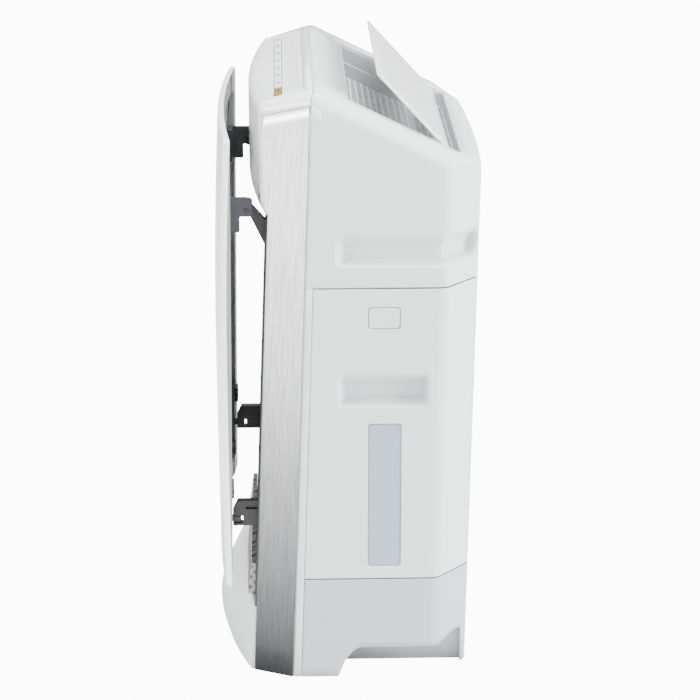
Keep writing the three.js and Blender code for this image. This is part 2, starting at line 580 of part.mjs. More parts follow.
function lowerBracket() {
  const z0 = LOWER_ARM.slotBottom + 1.5;
  const z1 = LOWER_ARM.slotTop - 1.5;
  const { bottom, top } = LOWER_BRACKET;
  const start = panelInside(EAR.outerX, bottom) + GAP;
  const tongue = block(ARM.innerX + 1, ARM.outerX - 1, start + 0.3, -123.5, z0, z1);
  const plate = block(ARM.innerX - 4, EAR.outerX, start, start + 5, bottom, top);
  const ribs = union(Array.from({ length: 5 }, (_, i) => block(ARM.innerX, EAR.outerX, start + 4, -131,
    LOWER_ARM.top + 6 + i * 4, LOWER_ARM.top + 8 + i * 4)));
  return plate.add(tongue).add(ribs);
}
const hingePin = () => rod('x', UPPER_PIN.y, UPPER_PIN.z, ARM.innerX + 1, EAR.outerX + 0.5, UPPER_PIN.r - 0.02);
for (const [side, place] of [['right', (s) => s], ['left', mirrorX]]) {
  piece(`upper_bracket_${side}`, place(upperBracket()), GREY);
  piece(`lower_bracket_${side}`, place(lowerBracket()), GREY);
  piece(`upper_arm_${side}`, place(upperArm()), BLACK);
  piece(`lower_arm_${side}`, place(lowerArm()), BLACK);
  piece(`hinge_pin_${side}`, place(hingePin()), STEEL);
}

// ---- panel drive ----
const pinionZ = RACK_Z - 1 - (PINION.teeth * PINION.module) / 2;
function pinion(x0, x1) {
  const { teeth, module } = PINION;
  const pitchR = (teeth * module) / 2;
  const outline = [];
  for (let i = 0; i < teeth; i += 1) {
    const middle = Math.PI / 2 + (i * 2 * Math.PI) / teeth;
    const root = pitchR - 1.2;
    const tip = pitchR + 0.8;
    for (const [r, offset] of [[root, -0.085], [tip, -0.03], [tip, 0.03], [root, 0.085]]) {
      outline.push(v2(PINION.y + r * Math.cos(middle + offset), pinionZ + r * Math.sin(middle + offset)));
    }
  }
  return solid(prismX(outline, x0, x1));
}
function driveShaft() {
  const gears = bothSides(pinion(ARM.innerX + 1, ARM.outerX - 1));
  return rod('x', PINION.y, pinionZ, -172, ARM.outerX + 4, PINION.shaftR).add(gears);
}
function driveMotor() {
  return rod('x', PINION.y, pinionZ, -180, -ARM.outerX - 2, 14)
    .subtract(rod('x', PINION.y, pinionZ, -174, -150, PINION.shaftR + GAP));
}
piece('drive_shaft', driveShaft(), STEEL);
piece('panel_drive_motor', driveMotor(), BLACK);
piece('flap_motor', rod('x', HINGE.y, HINGE.z - 18, -176, -158, 10), BLACK);

// ---- tank ----
const faceBlock = ({ y0, y1, z0, z1, round }, shrink, x0, x1) =>
  solid(prismX(roundedBox(y0 + shrink, y1 - shrink, z0 + shrink, z1 - shrink, round), x0, x1));
function tankCover() {
  const { depth } = HANDLE;
  const liner = faceBlock(HANDLE, -WALL, SIDE_X - depth - WALL, SIDE_X - 0.5);
  const frame = faceBlock(WINDOW, -WALL, SIDE_X - 6, SIDE_X - 0.5);
  return ring.intersect(tankRegion(SEAM)).add(liner.intersect(outer)).add(frame.intersect(outer))
    .subtract(faceBlock(HANDLE, 0, SIDE_X - depth, SIDE_X + 5))
    .subtract(faceBlock(WINDOW, 0, SIDE_X - 20, SIDE_X + 5))
    .subtract(faceBlock(LATCH, 0, SIDE_X - 20, SIDE_X + 5));
}
function tankBucket() {
  const { innerX, wall, bottomZ, topZ } = BUCKET;
  const plan = (grow) => [v2(innerX + grow, -38 + grow), v2(172 - grow, -38 + grow), v2(172 - grow, 82 - grow),
    v2(134 - grow, 120 - grow), v2(innerX + grow, 120 - grow)];
  return solid(prismZ(plan(0), bottomZ, topZ)).subtract(solid(prismZ(plan(wall), bottomZ + wall, topZ + 10)));
}
function tankLid() {
  const { innerX, topZ } = BUCKET;
  const plate = block(innerX, 172, -38, 80, topZ + GAP, topZ + 3);
  return plate.subtract(rod('z', 150, -10, topZ - 5, topZ + 10, 12));
}
piece('tank_cover', tankCover(), WHITE);
piece('tank_window', faceBlock(WINDOW, GAP, SIDE_X - 4, SIDE_X - 1), TINT);
piece('latch_button', faceBlock(LATCH, 0.5, SIDE_X - 6, SIDE_X).intersect(outer), WHITE);
piece('tank_bucket', tankBucket(), TINT);
piece('tank_lid', tankLid(), WHITE);

// ---- filters and air path ----
function gridFrame(x, y0, y1, z0, z1, rim, columns, rows) {
  const body = region(-x, x, y0, y1, z0, z1);
  const cellW = (2 * x - rim * (columns + 1)) / columns;
  const cellH = (z1 - z0 - rim * (rows + 1)) / rows;
  const cells = [];
  for (let i = 0; i < columns; i += 1) {
    for (let j = 0; j < rows; j += 1) {
      const left = -x + rim + i * (cellW + rim);
      const low = z0 + rim + j * (cellH + rim);
      cells.push(block(left, left + cellW, -130, 0, low, low + cellH));
    }
  }
  return body.subtract(union(cells));
}
const { halfWidth: filterX, bottomZ: filterZ0, topZ: filterZ1 } = FILTER;
piece('prefilter', gridFrame(filterX - 2, -104, -101, filterZ0, filterZ1, 5, 4, 6), BLACK);
function dustFilter() {
  const pleats = 22;
  const front = Array.from({ length: 2 * pleats + 1 }, (_, i) =>
    v2(-filterX + 6 + ((2 * filterX - 12) * i) / (2 * pleats), i % 2 ? -98 : -88));
  const frame = region(-filterX + 2, filterX - 2, -100, -74, filterZ0, filterZ1);
  const pocket = solid(lean(prismZ([v2(-filterX + 6, -130), v2(filterX - 6, -130), ...front.reverse()],
    filterZ0 + 6, filterZ1 - 6)));
  return frame.subtract(pocket);
}
piece('dust_filter', dustFilter(), PAPER);
piece('deodorising_filter', gridFrame(filterX - 2, -73, -63, filterZ0, filterZ1, 8, 3, 5), BLACK);
const airGuideHole = () => rod('y', FAN.x, FAN.z, -100, 60, ROTOR.radius - 4, 32);
piece('air_guide', region(-filterX - 2, filterX + 2, -62, -59, 128, 534).subtract(airGuideHole()), GREY);

function rotorFrame() {
  const { x, z, radius, depth, y } = ROTOR;
  const r = radius + 4;
  const front = y - depth / 2 - 3;
  const body = block(x - r - 6, x + r + 6, front, y + depth / 2 + 2, z - r - 6, z + r + 6)
    .subtract(rod('y', x, z, front + 3, y + 100, radius + 1.5, 40))
    .subtract(rod('y', x, z, front - 1, front + 4, radius - 6, 40));
  const spoke = block(x - radius + 2, x + radius - 2, front, front + 2.4, z - 4, z + 4);
  return union(body, spoke, rod('y', x, z, front, y + depth / 2, 5));
}
function desiccantRotor() {
  const { x, z, radius, depth, y } = ROTOR;
  let disc = rod('y', x, z, y - depth / 2 + 0.5, y + depth / 2, radius, 36)
    .subtract(rod('y', x, z, y - 40, y + 40, 5.4));
  const holes = [];
  for (const [count, r, size] of [[8, 34, 9], [14, 68, 11]]) {
    for (let i = 0; i < count; i += 1) {
      const a = (i * 2 * Math.PI) / count;
      holes.push(rod('y', x + r * Math.cos(a), z + r * Math.sin(a), y - 40, y + 40, size, 6));
    }
  }
  disc = disc.subtract(union(holes));
  return disc;
}
piece('rotor_frame', rotorFrame(), GREY);
piece('desiccant_rotor', desiccantRotor(), PAPER);
function heater() {
  const { x, z, depth, y } = ROTOR;
  const y0 = y + depth / 2 + 4;
  const sector = [v2(x, z), v2(x + 80, z + 8), v2(x + 62, z + 58), v2(x + 14, z + 82)];
  return solid(prismY(sector.reverse(), y0, y0 + 14));
}
piece('heater', heater(), STEEL);

function scrollOutline(grow) {
  const r = FAN.radius + 22 - grow;
  const low = Array.from({ length: 17 }, (_, i) => {
    const a = Math.PI + (Math.PI * i) / 16;
    return v2(FAN.x + r * Math.cos(a), FAN.z + r * Math.sin(a));
  });
  return [...low, v2(FAN.x + r, 478), v2(148 - grow, 542), v2(148 - grow, 558), v2(-148 + grow, 558),
    v2(-148 + grow, 542), v2(FAN.x - r, 500)];
}
function fanScroll() {
  const y0 = FAN.rearY - FAN.width - 8;
  const y1 = FAN.rearY + 5;
  return solid(prismY(scrollOutline(0), y0, y1))
    .subtract(solid(prismY(scrollOutline(WALL), y0 + WALL, y1 - WALL)))
    .subtract(block(-146, 146, y0 + WALL, y1 - WALL, 550, 570))
    .subtract(rod('y', FAN.x, FAN.z, y0 - 5, y0 + 5, FAN.radius - 18, 32))
    .subtract(rod('y', FAN.x, FAN.z, y1 - 6, y1 + 5, 9));
}
function fanWheel() {
  const { x, z, radius, width, rearY, blades } = FAN;
  const y0 = rearY - width;
  const rim = rod('y', x, z, y0, y0 + 4, radius, 40).subtract(rod('y', x, z, y0 - 1, y0 + 5, radius - 16, 40));
  const backPlate = rod('y', x, z, rearY - 4, rearY - 0.5, radius, 40);
  const hub = backPlate.add(rod('y', x, z, rearY - 20, rearY + 16, 4, 16));
  const blade = block(-1, 1, y0 + 1, rearY - 2, radius - 15, radius - 1);
  const ringOfBlades = Array.from({ length: blades }, (_, i) =>
    blade.rotate([0, (i * 360) / blades, 0]).translate([x, 0, z]));
  return union(rim, hub, ringOfBlades);
}
function fanMotor() {
  const y0 = FAN.rearY + 6;
  return rod('y', FAN.x, FAN.z, y0, y0 + 22, 36, 32).subtract(rod('y', FAN.x, FAN.z, y0 - 1, y0 + 14, 4.4, 16));
}
piece('fan_scroll', fanScroll(), GREY);
piece('fan_wheel', fanWheel(), BLACK);
piece('fan_motor', fanMotor(), STEEL);

function condenser() {
  const fins = Array.from({ length: 12 }, (_, i) => block(-168 + i * 18, -165 + i * 18, -34, 18, 156, 214));
  return union(fins, block(-168, 33, -34, -31, 156, 214), block(-168, 33, -34, 18, 156, 159));
}
function drainTray() {
  return block(-176, 56, -40, 100, 128, 146).subtract(block(-174, 54, -38, 98, 130, 160));
}
piece('condenser', condenser(), DUCT_GREY);
piece('drain_tray', drainTray(), GREY);

// ---- feet and power inlet ----
for (const [name, x, y] of [['front_right', 130, -70], ['front_left', -130, -70], ['rear_right', 120, 100],
  ['rear_left', -120, 100]]) {
  piece(`foot_${name}`, rod('z', x, y, 0, FLOOR.top - WALL - GAP, FOOT.radius, FOOT.sides), BLACK);
}
piece('cord_inlet', block(-96, -70, 125, 141.2, 60, 80).intersect(inner), BLACK);

export default pieces;
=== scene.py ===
"""Dehumidifying air cleaner, seen from its tank side with the front panel driven out."""

import json
import math

import bmesh
import bpy
import numpy as np
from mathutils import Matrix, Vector


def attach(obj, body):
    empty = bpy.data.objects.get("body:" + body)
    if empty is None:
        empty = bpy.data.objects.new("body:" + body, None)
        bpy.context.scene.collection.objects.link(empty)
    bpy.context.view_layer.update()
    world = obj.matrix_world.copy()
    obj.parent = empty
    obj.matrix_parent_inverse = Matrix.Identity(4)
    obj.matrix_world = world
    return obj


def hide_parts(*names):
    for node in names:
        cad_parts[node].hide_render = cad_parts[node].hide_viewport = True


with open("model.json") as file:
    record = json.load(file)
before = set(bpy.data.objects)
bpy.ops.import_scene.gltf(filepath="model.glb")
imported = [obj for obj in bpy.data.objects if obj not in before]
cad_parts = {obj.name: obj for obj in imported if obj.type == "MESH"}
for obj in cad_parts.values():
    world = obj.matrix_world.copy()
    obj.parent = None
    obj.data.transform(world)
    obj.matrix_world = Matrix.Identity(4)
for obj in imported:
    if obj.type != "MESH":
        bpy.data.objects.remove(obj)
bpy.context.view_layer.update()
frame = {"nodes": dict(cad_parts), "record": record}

# ---- camera, light and floor ----
# A long lens a little above the machine, square to its tank side; white studio sweep.
camera = bpy.data.objects.new("camera", bpy.data.cameras.new("camera"))
camera.data.lens = 120.3
camera.data.sensor_width = 36
camera.location = (2.637, -0.074, 1.237)
camera.rotation_euler = Vector((-0.9455, 0.0287, -0.3242)).to_track_quat("-Z", "Y").to_euler()
bpy.context.scene.collection.objects.link(camera)
bpy.context.scene.camera = camera


def area_light(name, place, target, size, power):
    """Square white soft box at a place, turned to face a target."""
    data = bpy.data.lights.new(name, "AREA")
    data.size = size
    data.energy = power
    light = bpy.data.objects.new(name, data)
    light.location = place
    light.rotation_euler = (Vector(target) - Vector(place)).to_track_quat("-Z", "Y").to_euler()
    bpy.context.scene.collection.objects.link(light)


area_light("key", (1.3, -2.1, 1.9), (0, 0, 0.4), 1.2, 120)
area_light("rear_fill", (0.9, 2.3, 1.2), (0, 0, 0.35), 1.2, 200)
area_light("top", (0.2, 0.3, 2.6), (0, 0, 0.5), 1.0, 130)

SWEEP_GLOW, SKY_LIGHT = 12.0, 0.9  # what the camera sees of the sweep, and what lights the machine

world = bpy.data.worlds.new("studio")
bpy.context.scene.world = world
world.use_nodes = True
sky = world.node_tree
sky.nodes["Background"].inputs["Color"].default_value = (1, 1, 1, 1)
shown = sky.nodes.new("ShaderNodeMath")
shown.operation = "MULTIPLY_ADD"
shown.inputs[1].default_value = SWEEP_GLOW - SKY_LIGHT
shown.inputs[2].default_value = SKY_LIGHT
sky.links.new(sky.nodes.new("ShaderNodeLightPath").outputs["Is Camera Ray"], shown.inputs[0])
sky.links.new(shown.outputs[0], sky.nodes["Background"].inputs["Strength"])


def link(tree, a, out, b, into):
    """Links one node's output to another's input, by name or number."""
    tree.links.new(a.outputs[out], b.inputs[into])


def floor_material():
    """Paper sweep: shown white to the camera, plain diffuse white to everything else."""
    m = bpy.data.materials.new("sweep")
    m.use_nodes = True
    t = m.node_tree
    t.nodes.clear()
    out = t.nodes.new("ShaderNodeOutputMaterial")
    mix = t.nodes.new("ShaderNodeMixShader")
    ray = t.nodes.new("ShaderNodeLightPath")
    glow = t.nodes.new("ShaderNodeEmission")
    glow.inputs["Strength"].default_value = SWEEP_GLOW
    paper = t.nodes.new("ShaderNodeBsdfDiffuse")
    paper.inputs["Color"].default_value = (0.8, 0.8, 0.8, 1)
    link(t, ray, "Is Camera Ray", mix, 0)
    link(t, paper, "BSDF", mix, 1)
    link(t, glow, "Emission", mix, 2)
    link(t, mix, "Shader", out, "Surface")
    return m


sweep = bpy.data.meshes.new("floor")
sweep.from_pydata([(-6, -6, 0), (6, -6, 0), (6, 6, 0), (-6, 6, 0)], [], [(0, 1, 2, 3)])
floor = bpy.data.objects.new("floor", sweep)
floor.data.materials.append(floor_material())
bpy.context.scene.collection.objects.link(floor)


# ---- main housing ----
# Moulded white ABS shell: right, left and rear walls and the sloping roof in one piece, with a
# scooped grip in each side that runs round the rear corner. Satin spark-eroded finish.
def group(name, inputs, outputs):
    """Empty node group with float or colour sockets named in two dictionaries."""
    g = bpy.data.node_groups.new(name, "ShaderNodeTree")
    for key, value in inputs.items():
        s = g.interface.new_socket(key, in_out="INPUT",
                                   socket_type="NodeSocketColor" if np.ndim(value) else "NodeSocketFloat")
        s.default_value = value
    for key, kind in outputs.items():
        g.interface.new_socket(key, in_out="OUTPUT", socket_type=kind)
    return g, g.nodes.new("NodeGroupInput"), g.nodes.new("NodeGroupOutput")


def noise(tree, coords, scale, detail, stretch=(1, 1, 1)):
    """Noise texture on object coordinates stretched per axis; scale counts features per metre."""
    place = tree.nodes.new("ShaderNodeMapping")
    place.inputs["Scale"].default_value = stretch
    tree.links.new(coords, place.inputs["Vector"])
    n = tree.nodes.new("ShaderNodeTexNoise")
    n.inputs["Scale"].default_value = scale
    n.inputs["Detail"].default_value = detail
    tree.links.new(place.outputs["Vector"], n.inputs["Vector"])
    return n.outputs["Fac"]


def maths(tree, operation, a, b=None, c=None):
    """One Math node; arguments are sockets or numbers."""
    n = tree.nodes.new("ShaderNodeMath")
    n.operation = operation
    for i, v in enumerate((a, b, c)):
        if v is None:
            continue
        if isinstance(v, (int, float)):
            n.inputs[i].default_value = v
        else:
            tree.links.new(v, n.inputs[i])
    return n.outputs[0]


def mixed(tree, factor, a, b):
    """Colour mix of two colours by a factor socket."""
    n = tree.nodes.new("ShaderNodeMix")
    n.data_type = "RGBA"
    tree.links.new(factor, n.inputs["Factor"])
    n.inputs[6].default_value = (*a, 1)
    n.inputs[7].default_value = (*b, 1)
    return n.outputs[2]


GRAIN_SIZE, GRAIN_RISE = 2600.0, 0.00002  # features per metre and height in metres of the fine grain


def make_moulded():
    """Moulded plastic: broad tint drift, handling smudges in the gloss, and spark-eroded grain.
    Colour = base, darkened by Drift x broad noise; Roughness = base + Smudge x mid noise;
    Height = Grain x fine noise."""
    g, put, out = group("moulded_plastic",
                        {"Color": (0.8, 0.8, 0.8, 1), "Drift": 0.03, "Roughness": 0.35, "Smudge": 0.08,
                         "Grain": 1.0, "Grain Size": GRAIN_SIZE},
                        {"Color": "NodeSocketColor", "Roughness": "NodeSocketFloat",
                         "Height": "NodeSocketFloat"})
    coords = g.nodes.new("ShaderNodeTexCoord").outputs["Object"]
    broad = noise(g, coords, 5.0, 3.0)
    mid = noise(g, coords, 38.0, 4.0)
    fine = noise(g, coords, GRAIN_SIZE, 1.0)
    g.links.new(put.outputs["Grain Size"], fine.node.inputs["Scale"])
    dark = maths(g, "MULTIPLY_ADD", maths(g, "SUBTRACT", broad, 0.5), put.outputs["Drift"], 1.0)
    vec = g.nodes.new("ShaderNodeVectorMath")
    vec.operation = "SCALE"
    g.links.new(put.outputs["Color"], vec.inputs[0])
    g.links.new(dark, vec.inputs["Scale"])
    g.links.new(vec.outputs[0], out.inputs["Color"])
    handled = maths(g, "SUBTRACT", mid, 0.45)
    rough = maths(g, "MULTIPLY_ADD", handled, put.outputs["Smudge"], put.outputs["Roughness"])
    g.links.new(rough, out.inputs["Roughness"])
    g.links.new(maths(g, "MULTIPLY", fine, put.outputs["Grain"]), out.inputs["Height"])
    return g


MOULDED = make_moulded()


def plastic(name, color, roughness, drift=0.03, smudge=0.08, grain=0.6, size=GRAIN_SIZE, coat=0.0):
    """Material for one moulded plastic, from the shared group, with a fine grain bump."""
    m = bpy.data.materials.new(name)
    m.use_nodes = True
    t = m.node_tree
    surface = t.nodes["Principled BSDF"]
    look = t.nodes.new("ShaderNodeGroup")
    look.node_tree = MOULDED
    for key, value in (("Color", (*color, 1)), ("Drift", drift), ("Roughness", roughness), ("Smudge", smudge),
                       ("Grain", grain), ("Grain Size", size)):
        look.inputs[key].default_value = value
    rise = t.nodes.new("ShaderNodeBump")
    rise.inputs["Distance"].default_value = GRAIN_RISE
    link(t, look, "Height", rise, "Height")
    link(t, look, "Color", surface, "Base Color")
    link(t, look, "Roughness", surface, "Roughness")
    link(t, rise, "Normal", surface, "Normal")
    surface.inputs["Coat Weight"].default_value = coat
    surface.inputs["Coat Roughness"].default_value = 0.08
    return m


def add_mesh(name, verts, faces, body, material, slot, replaces=(), sharp=35, wall=0.0):
    """Mesh object in the row frame from millimetre points, riding on a body, with an inward wall."""
    data = bpy.data.meshes.new(name)
    data.from_pydata((np.asarray(verts, float) / 1000).tolist(), [], faces)
    b = bmesh.new()
    b.from_mesh(data)
    bmesh.ops.remove_doubles(b, verts=b.verts, dist=0.00002)
    bmesh.ops.dissolve_degenerate(b, edges=b.edges, dist=0.000005)
    b.to_mesh(data)
    b.free()
    data.shade_smooth()
    data.set_sharp_from_angle(angle=math.radians(sharp))
    o = bpy.data.objects.new(name, data)
    bpy.context.scene.collection.objects.link(o)
    o.data.materials.append(material)
    if wall:
        s = o.modifiers.new("wall", "SOLIDIFY")
        s.thickness = wall / 1000
        s.offset = -1
    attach(o, body)
    if replaces:
        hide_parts(*replaces)
    return o


class Patches:
    """Collects point grids into one mesh. Each grid is faced away from an inside point (by default
    its own middle), or towards a given point, by the sign of its summed quad normals."""

    def __init__(self, inside=None):
        self.inside, self.points, self.faces, self.count = inside, [], [], 0

    def add(self, grid, keep=None, wrap=False, mirror=False, towards=None):
        """Adds a rows x columns grid; keep masks its cells, wrap joins its last column to its first."""
        for side in ((1, -1) if mirror else (1,)):
            g = np.asarray(grid, float) * (side, 1, 1)
            rows, columns = g.shape[:2]
            i, j = np.meshgrid(np.arange(rows - 1), np.arange(columns if wrap else columns - 1),
                               indexing="ij")
            k = (j + 1) % columns
            quads = np.stack([i * columns + j, (i + 1) * columns + j,
                              (i + 1) * columns + k, i * columns + k], -1)
            p = g.reshape(-1, 3)[quads]
            normal = np.cross(p[..., 2, :] - p[..., 0, :], p[..., 3, :] - p[..., 1, :])
            away = p.mean(2) - (g.mean((0, 1)) if self.inside is None else self.inside)
            if towards is not None:
                away = np.array(towards) * (side, 1, 1) - p.mean(2)
            if (normal * away).sum() < 0:
                quads = quads[..., ::-1]
            cells = quads if keep is None else quads[keep]
            self.faces += (cells.reshape(-1, 4) + self.count).tolist()
            self.points.append(g.reshape(-1, 3))
            self.count += rows * columns
        return self

    def done(self, name, *args, **kwargs):
        """Makes the object from everything collected."""
        return add_mesh(name, np.vstack(self.points), self.faces, *args, **kwargs)


def smooth_path(corners, steps=10):
    """Open path through corners [x, y, setback], each rounded by a quadratic curve over its setback."""
    points = []
    for i, (x, y, back) in enumerate(corners):
        here = np.array([x, y], float)
        if not back:
            points.append(here)
            continue
        a, b = (np.array(corners[j][:2], float) - here for j in (i - 1, i + 1))
        a, b = (here + back * v / np.linalg.norm(v) for v in (a, b))
        t = np.linspace(0, 1, steps + 1)[:, None]
        points += list((1 - t) ** 2 * a + 2 * t * (1 - t) * here + t**2 * b)
    return np.array(points)


# Shapes are in millimetres: x towards the tank side, y to the rear, z up. SEAM_Y is where the trims
# meet the side walls; the walls lean back, and the roof falls to the rear and to the front of its ridge.
SIDE, SEAM_Y, FRONT_Y, TRIM_HALF = 197.0, -66.0, -111, 176
REAR_HALF, REAR_Y, REAR_BOW = 154, 136, 5
LEAN, LEAN_CHANGE = 0.0345, 0.00009
RIDGE_Y, RIDGE_Z, TOP_SLOPE, COWL_SLOPE = -37.0, 690.0, 0.49, 0.25
SHELL, SEAM_SINK, GAP = 2.2, 0.45, 0.7  # wall of the white mouldings, sink of their edges, joint gap


def lean(y):
    """Backward lean per unit of height at a floor plan y: greatest at the front."""
    return LEAN - LEAN_CHANGE * (y - SEAM_Y)


rear_x = np.linspace(REAR_HALF, 0, 20)
plan = smooth_path([(150, FRONT_Y, 0), (TRIM_HALF, FRONT_Y, 3), (SIDE, SEAM_Y, 5), (SIDE, 97, 9),
                    (REAR_HALF, REAR_Y, 7)]
                   + [(x, REAR_Y + REAR_BOW * (1 - (x / REAR_HALF) ** 2), 0) for x in rear_x[1:]])
plan_s = np.r_[0, np.cumsum(np.linalg.norm(np.diff(plan, axis=0), axis=1))]
flat_start = np.argmax(plan[:, 0] >= SIDE - 1e-6)
plan_s += plan[flat_start, 1] - plan_s[flat_start]
plan_n = np.gradient(plan, axis=0)[:, ::-1] * (1, -1)
plan_n /= np.linalg.norm(plan_n, axis=1)[:, None]


def plan_at(s):
    """Plan point and outward normal at arc length s; s equals y along the flat side."""
    x, y = (np.interp(s, plan_s, plan[:, k]) for k in (0, 1))
    n = np.stack([np.interp(s, plan_s, plan_n[:, k]) for k in (0, 1)], -1)
    return x, y, n / np.linalg.norm(n, axis=-1, keepdims=True)


def roof(y):
    """Roof height: two slopes meeting at a ridge, with its crest eased down over 3 mm either way."""
    rear = RIDGE_Z - (y - RIDGE_Y) * TOP_SLOPE
    front = RIDGE_Z - 1 + (y - RIDGE_Y) * COWL_SLOPE
    return np.where(y > RIDGE_Y, rear, front) - 0.9 * np.exp(-((y - RIDGE_Y) / 3.0) ** 2)


def ramp(t):
    """Smooth step from 0 to 1."""
    t = np.clip(t, 0, 1)
    return t * t * (3 - 2 * t)


def casing(s, z, depth=0.0):
    """Point of the leaning casing wall at arc length s and height z, sunk by a depth along its normal."""
    x, y, n = plan_at(s)
    return np.stack([x - n[..., 0] * depth, y + z * lean(y) - n[..., 1] * depth, z + 0 * x], -1)


def lines(*spans):
    """Sorted grid lines from (first, last, spacing) spans."""
    parts = [np.linspace(a, b, max(2, int(round((b - a) / step)) + 1)) for a, b, step in spans]
    return np.unique(np.round(np.concatenate(parts), 4))


rear_s = plan_s[-1]
GRIP = {"s0": -32.3, "s1": 153.0, "z0": 494.0, "z1": 533.0, "depth": 13.0}


def grip_depth(s, z):
    """Scoop of the side grip: product of smooth ramps from its four edges; its lower rear end is
    rounded."""
    low = GRIP["z0"] + 14 * ramp((s - 134) / 18) ** 2
    return (GRIP["depth"] * ramp((s - GRIP["s0"]) / 10) * ramp((GRIP["s1"] - s) / 6)
            * ramp((z - low) / 8) * ramp((GRIP["z1"] - z) / 19))


EDGE_STEPS, EDGE_POWER = np.linspace(0, math.pi / 2, 10)[:, None], 1.25


def edge_size(s):
    """Width and drop of the roof's edge rounding: broad along the sides, small round the rear."""
    share = ramp((s - 92) / 18)
    return 13 - 7 * share, 15.8 - 9.8 * share


def edge_height(s):
    """Height at which the wall at s turns over into the roof."""
    _, y, _ = plan_at(s)
    drop = edge_size(s)[1]
    return (RIDGE_Z - TOP_SLOPE * (y - RIDGE_Y) - drop) / (1 + TOP_SLOPE * lean(y))


def roof_edge(s, top):
    """Rounded-over chamfer between wall and roof: inset a(1-cos^p), drop b(1-sin^p), with the power p
    between flat and round."""
    a, b = edge_size(s)
    _, _, n = plan_at(s)
    inset = a * (1 - np.cos(EDGE_STEPS) ** EDGE_POWER)
    drop = b * (1 - np.sin(EDGE_STEPS) ** EDGE_POWER)
    x = top[:, 0] - n[:, 0] * inset
    y = top[:, 1] - n[:, 1] * inset
    return np.stack([x, y, roof(y) - drop], -1)


# Seam with the trim; the housing's lower edge over the tank; where the wall runs plain up to the roof
# edge; the rear of the upright strip beside the tank; and the housing's lower edge over the base.
HOUSING_FRONT, TANK_SEAM, PLAIN_Z, STRIP_REAR, BASE_SEAM = SEAM_Y + 1.6, 471.7, 560, -56.5, 124.0
WHITE_ABS = plastic("white_abs", (0.59, 0.63, 0.635), roughness=0.34)

side_s = lines((HOUSING_FRONT, HOUSING_FRONT + 1, 0.5), (-62, -40, 6), (-36, -16, 1), (-16, 90, 4),
               (90, 110, 1.5), (110, 138, 3), (138, 160, 1.2), (160, rear_s, 8))
low_z = lines((TANK_SEAM, TANK_SEAM + 1, 0.5), (476, 488, 6), (488, 540, 1.2), (540, PLAIN_Z, 5))
COVER = {"half": 138.0, "z0": 135.0, "z1": 560.0}
cover_s = np.interp(-COVER["half"], -rear_x, plan_s[-len(rear_x):])
side_s = np.unique(np.r_[side_s, cover_s])


def wall_keep(s, z):
    """Cells of a wall grid outside the rear cover's opening."""
    middle_s, middle_z = (s[:-1, :-1] + s[1:, 1:]) / 2, (z[:-1, :-1] + z[1:, 1:]) / 2
    return ~((middle_s > cover_s) & (middle_z > COVER["z0"]) & (middle_z < COVER["z1"]))


def eased(*distances):
    """Sink at a seam, gone 1 mm from it: the soft edge of a moulding."""
    return SEAM_SINK * ramp(1 - np.minimum.reduce([d + 0 * distances[0] for d in distances]))


housing = Patches(inside=(0, 20, 350))
S, Z = np.meshgrid(side_s, low_z)
seam_sink = eased(S - HOUSING_FRONT, Z - TANK_SEAM)
wall_low = casing(S, Z, grip_depth(S, Z) + seam_sink)
keep_low = wall_keep(S, Z)
share = np.linspace(0, 1, 8)[:, None]
z_turn = edge_height(side_s)
S8 = np.broadcast_to(side_s, (8, len(side_s)))
wall_high = casing(S8, PLAIN_Z + share * (z_turn - PLAIN_Z), eased(S8 - HOUSING_FRONT))
edge = roof_edge(side_s, wall_high[-1])
housing.add(wall_low, keep=keep_low, mirror=True).add(wall_high, mirror=True).add(edge, mirror=True)

# Roof: a strip over the ridge, then panels round the outlet opening, all on roof(y).
rim = edge[-1]
OUTLET, RIDGE_STRIP = {"x": 151.5, "y0": -1.5, "y1": 123.5}, -28
strip_y = lines((rim[0, 1], RIDGE_STRIP, 1.0))
rim_x = np.interp(strip_y, rim[:, 1], rim[:, 0])
across = np.linspace(-1, 1, 12)[:, None]
housing.add(np.stack([across * rim_x, strip_y + 0 * across, roof(strip_y) + 0 * across], -1))
edge_y = np.array([RIDGE_STRIP, OUTLET["y0"]])
housing.add(np.stack([across * [rim_x[-1], OUTLET["x"]], edge_y + 0 * across,
                      roof(edge_y) + 0 * across], -1))
beside_y = np.r_[RIDGE_STRIP, OUTLET["y0"], np.linspace(10, 110, 8), OUTLET["y1"]]
inner_x = np.r_[rim_x[-1], np.full(len(beside_y) - 1, OUTLET["x"])]
housing.add(np.stack([np.stack([x, beside_y, roof(beside_y)], -1)
                      for x in (inner_x, np.interp(beside_y, rim[:, 1], rim[:, 0]))]), mirror=True)
corner = [[np.interp(OUTLET["y1"], rim[:, 1], rim[:, 0]), OUTLET["y1"], roof(OUTLET["y1"])]]
outer_row = np.vstack([corner, rim[rim[:, 1] > OUTLET["y1"] + 0.5]])
inner_row = outer_row * 0 + [0, OUTLET["y1"], roof(OUTLET["y1"])]
inner_row[:, 0] = np.clip(outer_row[:, 0] / outer_row[0, 0], 0, 1) * OUTLET["x"]
housing.add(np.stack([inner_row, outer_row]), mirror=True)

